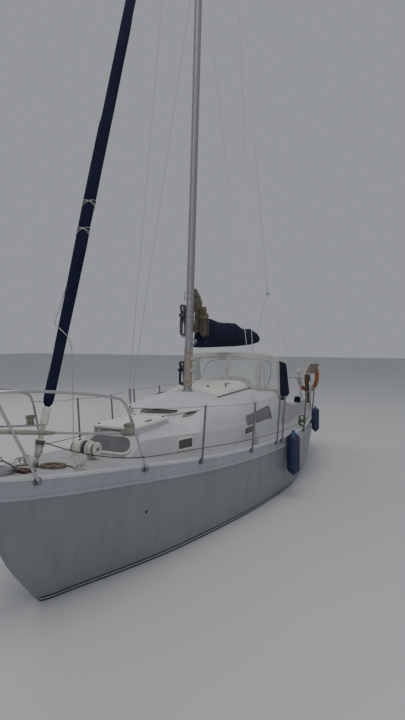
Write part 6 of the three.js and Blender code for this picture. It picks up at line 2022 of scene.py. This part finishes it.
def build_wraps():
    """Weathered cloth and tape wound round the pulpit's middle rail and the foot of the mast."""
    path = [p for p in smooth_path(across([at(*p) for p in PULPIT_MID]), 14) if p.x > STEM_X + 0.17]
    radii = [0.0185 + 0.0035 * ripple(i * 0.9, 3, 0) + 0.0015 * (i % 2) for i in range(len(path))]
    radii[0] = radii[-1] = 0.0125
    obj = Shell().tube(path, radii, 18).make("rail_wrap", RAIL_WRAP, smooth=60)
    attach(obj, "root")
    rings = []
    for z in np.arange(1.625, 2.190, 0.014):
        ring = spar_ring(mast_at(z), MAST_LONG + 0.010, MAST_WIDE + 0.010, 40, False)
        middle = mast_at(z)
        for k, p in enumerate(ring):
            wrinkle = ripple(z * 16, 3 * math.sin(k * 0.16), 3 * math.cos(k * 0.16))
            ring[k] = middle + (p - middle) * (1 + 0.035 * wrinkle)
        rings.append(ring)
    loft("mast_wrap", rings, MAST_WRAP, smooth=60)


# Ropes that lie or hang free
def cord(name, path, diameter, used, lay, body="root", **how):
    obj = loft(name, sweep_rings(path, diameter / 2, 10), used, smooth=80, body=body)


COIL = {"aft": 0.075, "y": 0.075, "outer": 0.128, "inner": 0.068, "pitch": 0.0135, "thick": 0.012}


def foredeck_coil():
    """From the port cleat into a flat coil of two layers; the end is tucked on top."""
    turns = (COIL["outer"] - COIL["inner"]) / COIL["pitch"]
    up = COIL["thick"] / 2 + 0.001
    path = [on_board(0.120, 0.295, 0.026), on_board(0.128, 0.270, 0.014), on_board(0.150, 0.246, up),
            on_board(0.166, 0.215, up)]
    start = 0.95
    for k in range(int(turns * 16) + 1):
        a = start + k * math.tau / 16
        r = COIL["outer"] - COIL["pitch"] * k / 16
        path.append(on_board(COIL["aft"] + r * math.sin(a + 0.5), COIL["y"] + r * 0.92 * math.cos(a + 0.5),
                             up))
    last = start + int(turns * 16) * math.tau / 16
    for k in range(1, int((turns - 0.8) * 16)):
        a = last + k * math.tau / 16
        r = COIL["inner"] + COIL["pitch"] * k / 16
        lift = up + (COIL["thick"] + 0.0015) * min(1, k / 5)
        path.append(on_board(COIL["aft"] + r * math.sin(a + 0.5), COIL["y"] + r * 0.92 * math.cos(a + 0.5),
                             lift))
    return path


# One turn of a hank: the angle on a round end, or how far down the side and how wide there
HANK_TURN = [("top", 90), ("top", 60), ("top", 30), ("top", 0), (0.16, 0.70), (0.36, 0.74), (0.68, 1.0),
             ("low", 0), ("low", -30), ("low", -60), ("low", -90), ("low", -120), ("low", -150),
             ("low", -180), (0.68, -1.0), (0.36, -0.74), (0.16, -0.70), ("top", 180), ("top", 150),
             ("top", 120)]


def hank(name, middle, across_dir, layer_dir, top, bottom, half, turns, diameter, used, body="root"):
    """Long loops with round ends, hung over a cleat or rail and tied: each turn lies beside the last."""
    step = diameter * 1.12
    path = []
    for k in range(turns * len(HANK_TURN) + 1):
        place, value = HANK_TURN[k % len(HANK_TURN)]
        turn = k / len(HANK_TURN)
        r = half * (0.58 + 0.42 * abs(math.cos(2.2 * turn)))
        low = bottom + 0.10 * (top - bottom) * abs(math.sin(2.7 * turn)) + r
        if place in ("top", "low"):
            a = math.radians(value)
            y, z = r * math.cos(a), (top - r if place == "top" else low) + r * math.sin(a)
        else:
            y, z = r * value, top - r + (low - top + r) * place
        lean = half * 0.16 * math.sin(4.1 * turn)
        p = middle + across_dir * (y + lean) + layer_dir * (step * turn)
        path.append(Vector((p.x, p.y, z)))
    cord(name, path, diameter, used, "coiled", body, far_end="bare", stiffness="limp")
    thick, wide = step * turns / 2 + diameter * 0.95, half * 0.88 + diameter * 0.95
    mid = middle + layer_dir * (step * turns / 2)
    tie = Shell()
    for k in range(4):
        z = top - half - 0.24 * (top - bottom) + (k - 1.5) * diameter
        outline = rounded([(-wide, -thick), (wide, -thick), (wide, thick), (-wide, thick)], diameter * 1.4,
                          4)
        ring = [mid + across_dir * p.x + layer_dir * p.y for p in outline]
        tie.tube([Vector((p.x, p.y, z)) for p in ring + ring[:2]], diameter * 0.5, 8)
    tie.make(name + "_tie", used, body=body, smooth=60)


def build_ropes():
    cord("foredeck_coil", foredeck_coil(), COIL["thick"], TAN_ROPE, "coiled", far_end="bare",
         stiffness="limp")
    warp = smooth_path([at(-0.452, 0.004, 1.345), at(-0.415, 0.030, 1.315), on_board(-0.345, 0.075, 0.045),
                        on_board(-0.270, 0.110, 0.0085), on_board(-0.190, 0.075, 0.0085),
                        on_board(-0.150, -0.020, 0.0085), on_board(-0.170, -0.120, 0.0085),
                        on_board(-0.085, -0.190, 0.0085), on_board(0.010, -0.150, 0.0085),
                        on_board(0.040, -0.215, 0.0085), on_board(0.090, -0.262, 0.010),
                        on_board(0.118, -0.298, 0.026)], 7)
    cord("bow_line", warp, 0.014, TAN_ROPE, "loose", far_end="object", stiffness="medium")
    sheet = smooth_path([at(0.545, -0.066, 3.190), at(0.470, -0.074, 2.900), at(0.350, -0.084, 2.600),
                         at(0.250, -0.050, 2.450), at(0.245, 0.040, 2.380), at(0.300, 0.086, 2.280),
                         at(0.318, 0.094, 1.950), at(0.322, 0.100, 1.500), at(0.324, 0.105, 1.260),
                         on_board(0.316, 0.135, 0.018), on_board(0.300, 0.190, 0.006),
                         on_board(0.330, 0.245, 0.006)], 9)
    cord("sheet_tail", sheet, 0.009, WHITE_ROPE, "hanging", far_end="bare", stiffness="limp")
    hank("halyard_hank", mast_at(2.60) + Vector((0.050, -0.099, 0)), PORT, -AHEAD, 2.810, 2.340, 0.040, 8,
         0.010, GREY_ROPE)
    hank("navy_hank", mast_at(1.86) + Vector((0.030, -0.099, 0)), PORT, -AHEAD, 1.990, 1.640, 0.038, 6,
         0.010, NAVY_ROPE)
    hank("reefing_hank", at(3.288, 0.067, 0), -AHEAD, PORT, 2.790, 2.335, 0.048, 7, 0.011, TAN_ROPE, "boom")
    hank("outhaul_hank", at(3.357, 0.108, 0), PORT, -AHEAD, 2.700, 2.350, 0.044, 4, 0.010,
         GREY_ROPE, "boom")
    rail_y = hull_at(4.600)["half"] + FOOT_OUT
    hank("side_deck_hank", at(4.585, rail_y - 0.022, 0), PORT, AHEAD, 1.085, 0.905, 0.050, 5,
         0.009, GREEN_ROPE)


def build_furling_line():
    """From the drum over the foredeck to the line that runs aft along the stanchions' feet."""
    start = STAY_FOOT + STAY_DIR * 0.178 + Vector((-0.028, 0.026, 0))
    shell = Shell()
    shell.tube(sagging(start, at(*LOW_LINE["fore"]), 0.050, 16), 0.0045, 8)
    shell.make("furling_line", DARK_ROPE)


def build_fender_lines():
    shell = Shell()
    for top, (_, aft, *_) in zip(FENDER_TOPS, FENDERS):
        rail = at(aft, hull_at(aft)["half"] + FOOT_OUT, hull_at(aft)["deck"] + LOW_LINE["up"])
        shell.tube([top - UP * 0.012, top.lerp(rail, 0.5), rail], 0.005, 10)
        for k in range(3):
            middle = rail + Vector((0.006 * (k - 1), 0, 0))
            shell.tube(oval(middle, PORT, UP, 0.009, 0.009, np.linspace(0, math.tau, 12)), 0.0042, 8)
    shell.make("fender_lines", WHITE_ROPE)


def build_deck_gear():
    """A folded mat on the bow, and the pale rod along the foot of the deckhouse front."""
    mat = []
    for a in np.linspace(-0.315, -0.175, 12):
        ys = np.linspace(-0.030, 0.115, 10)
        lift = [0.018 + 0.007 * ripple(a * 22, y * 22, 2) for y in ys]
        mat.append([on_board(a, y, h) for y, h in zip(ys, lift)] + [on_board(a, y, 0.001)
                for y in ys[::-1]])
    loft("bow_mat", mat, RED_MAT, smooth=50)
    rod = Shell()
    rod.tube([on_front(Vector((y, 1.352 + 0.070 * (y - 0.12) / 0.41)), 0.016)
              for y in np.linspace(0.12, 0.53, 12)], 0.008, 10)
    rod.make("boathook", WHITE_METAL)


build_fore_hatch()
build_sea_hood()
build_sliding_hatch()
for side, sign in SIDES.items():
    build_winch(side, sign)
    build_cleat("cleat_fore_" + side, 0.120, sign * 0.330, 0.10 * sign)
    build_cleat("cleat_aft_" + side, 7.080, sign * 0.880, -0.08 * sign)
build_windlass()
build_bow_roller()
build_anchor()
FENDER_TOPS = [build_fender(*row) for row in FENDERS]
build_buoy()
build_outboard()
build_keel()
build_shaft()
build_propeller()
build_engine()
build_rudder()
build_tiller()
build_hull_details()
build_wraps()
build_furling_line()
build_fender_lines()
build_deck_gear()
build_ropes()
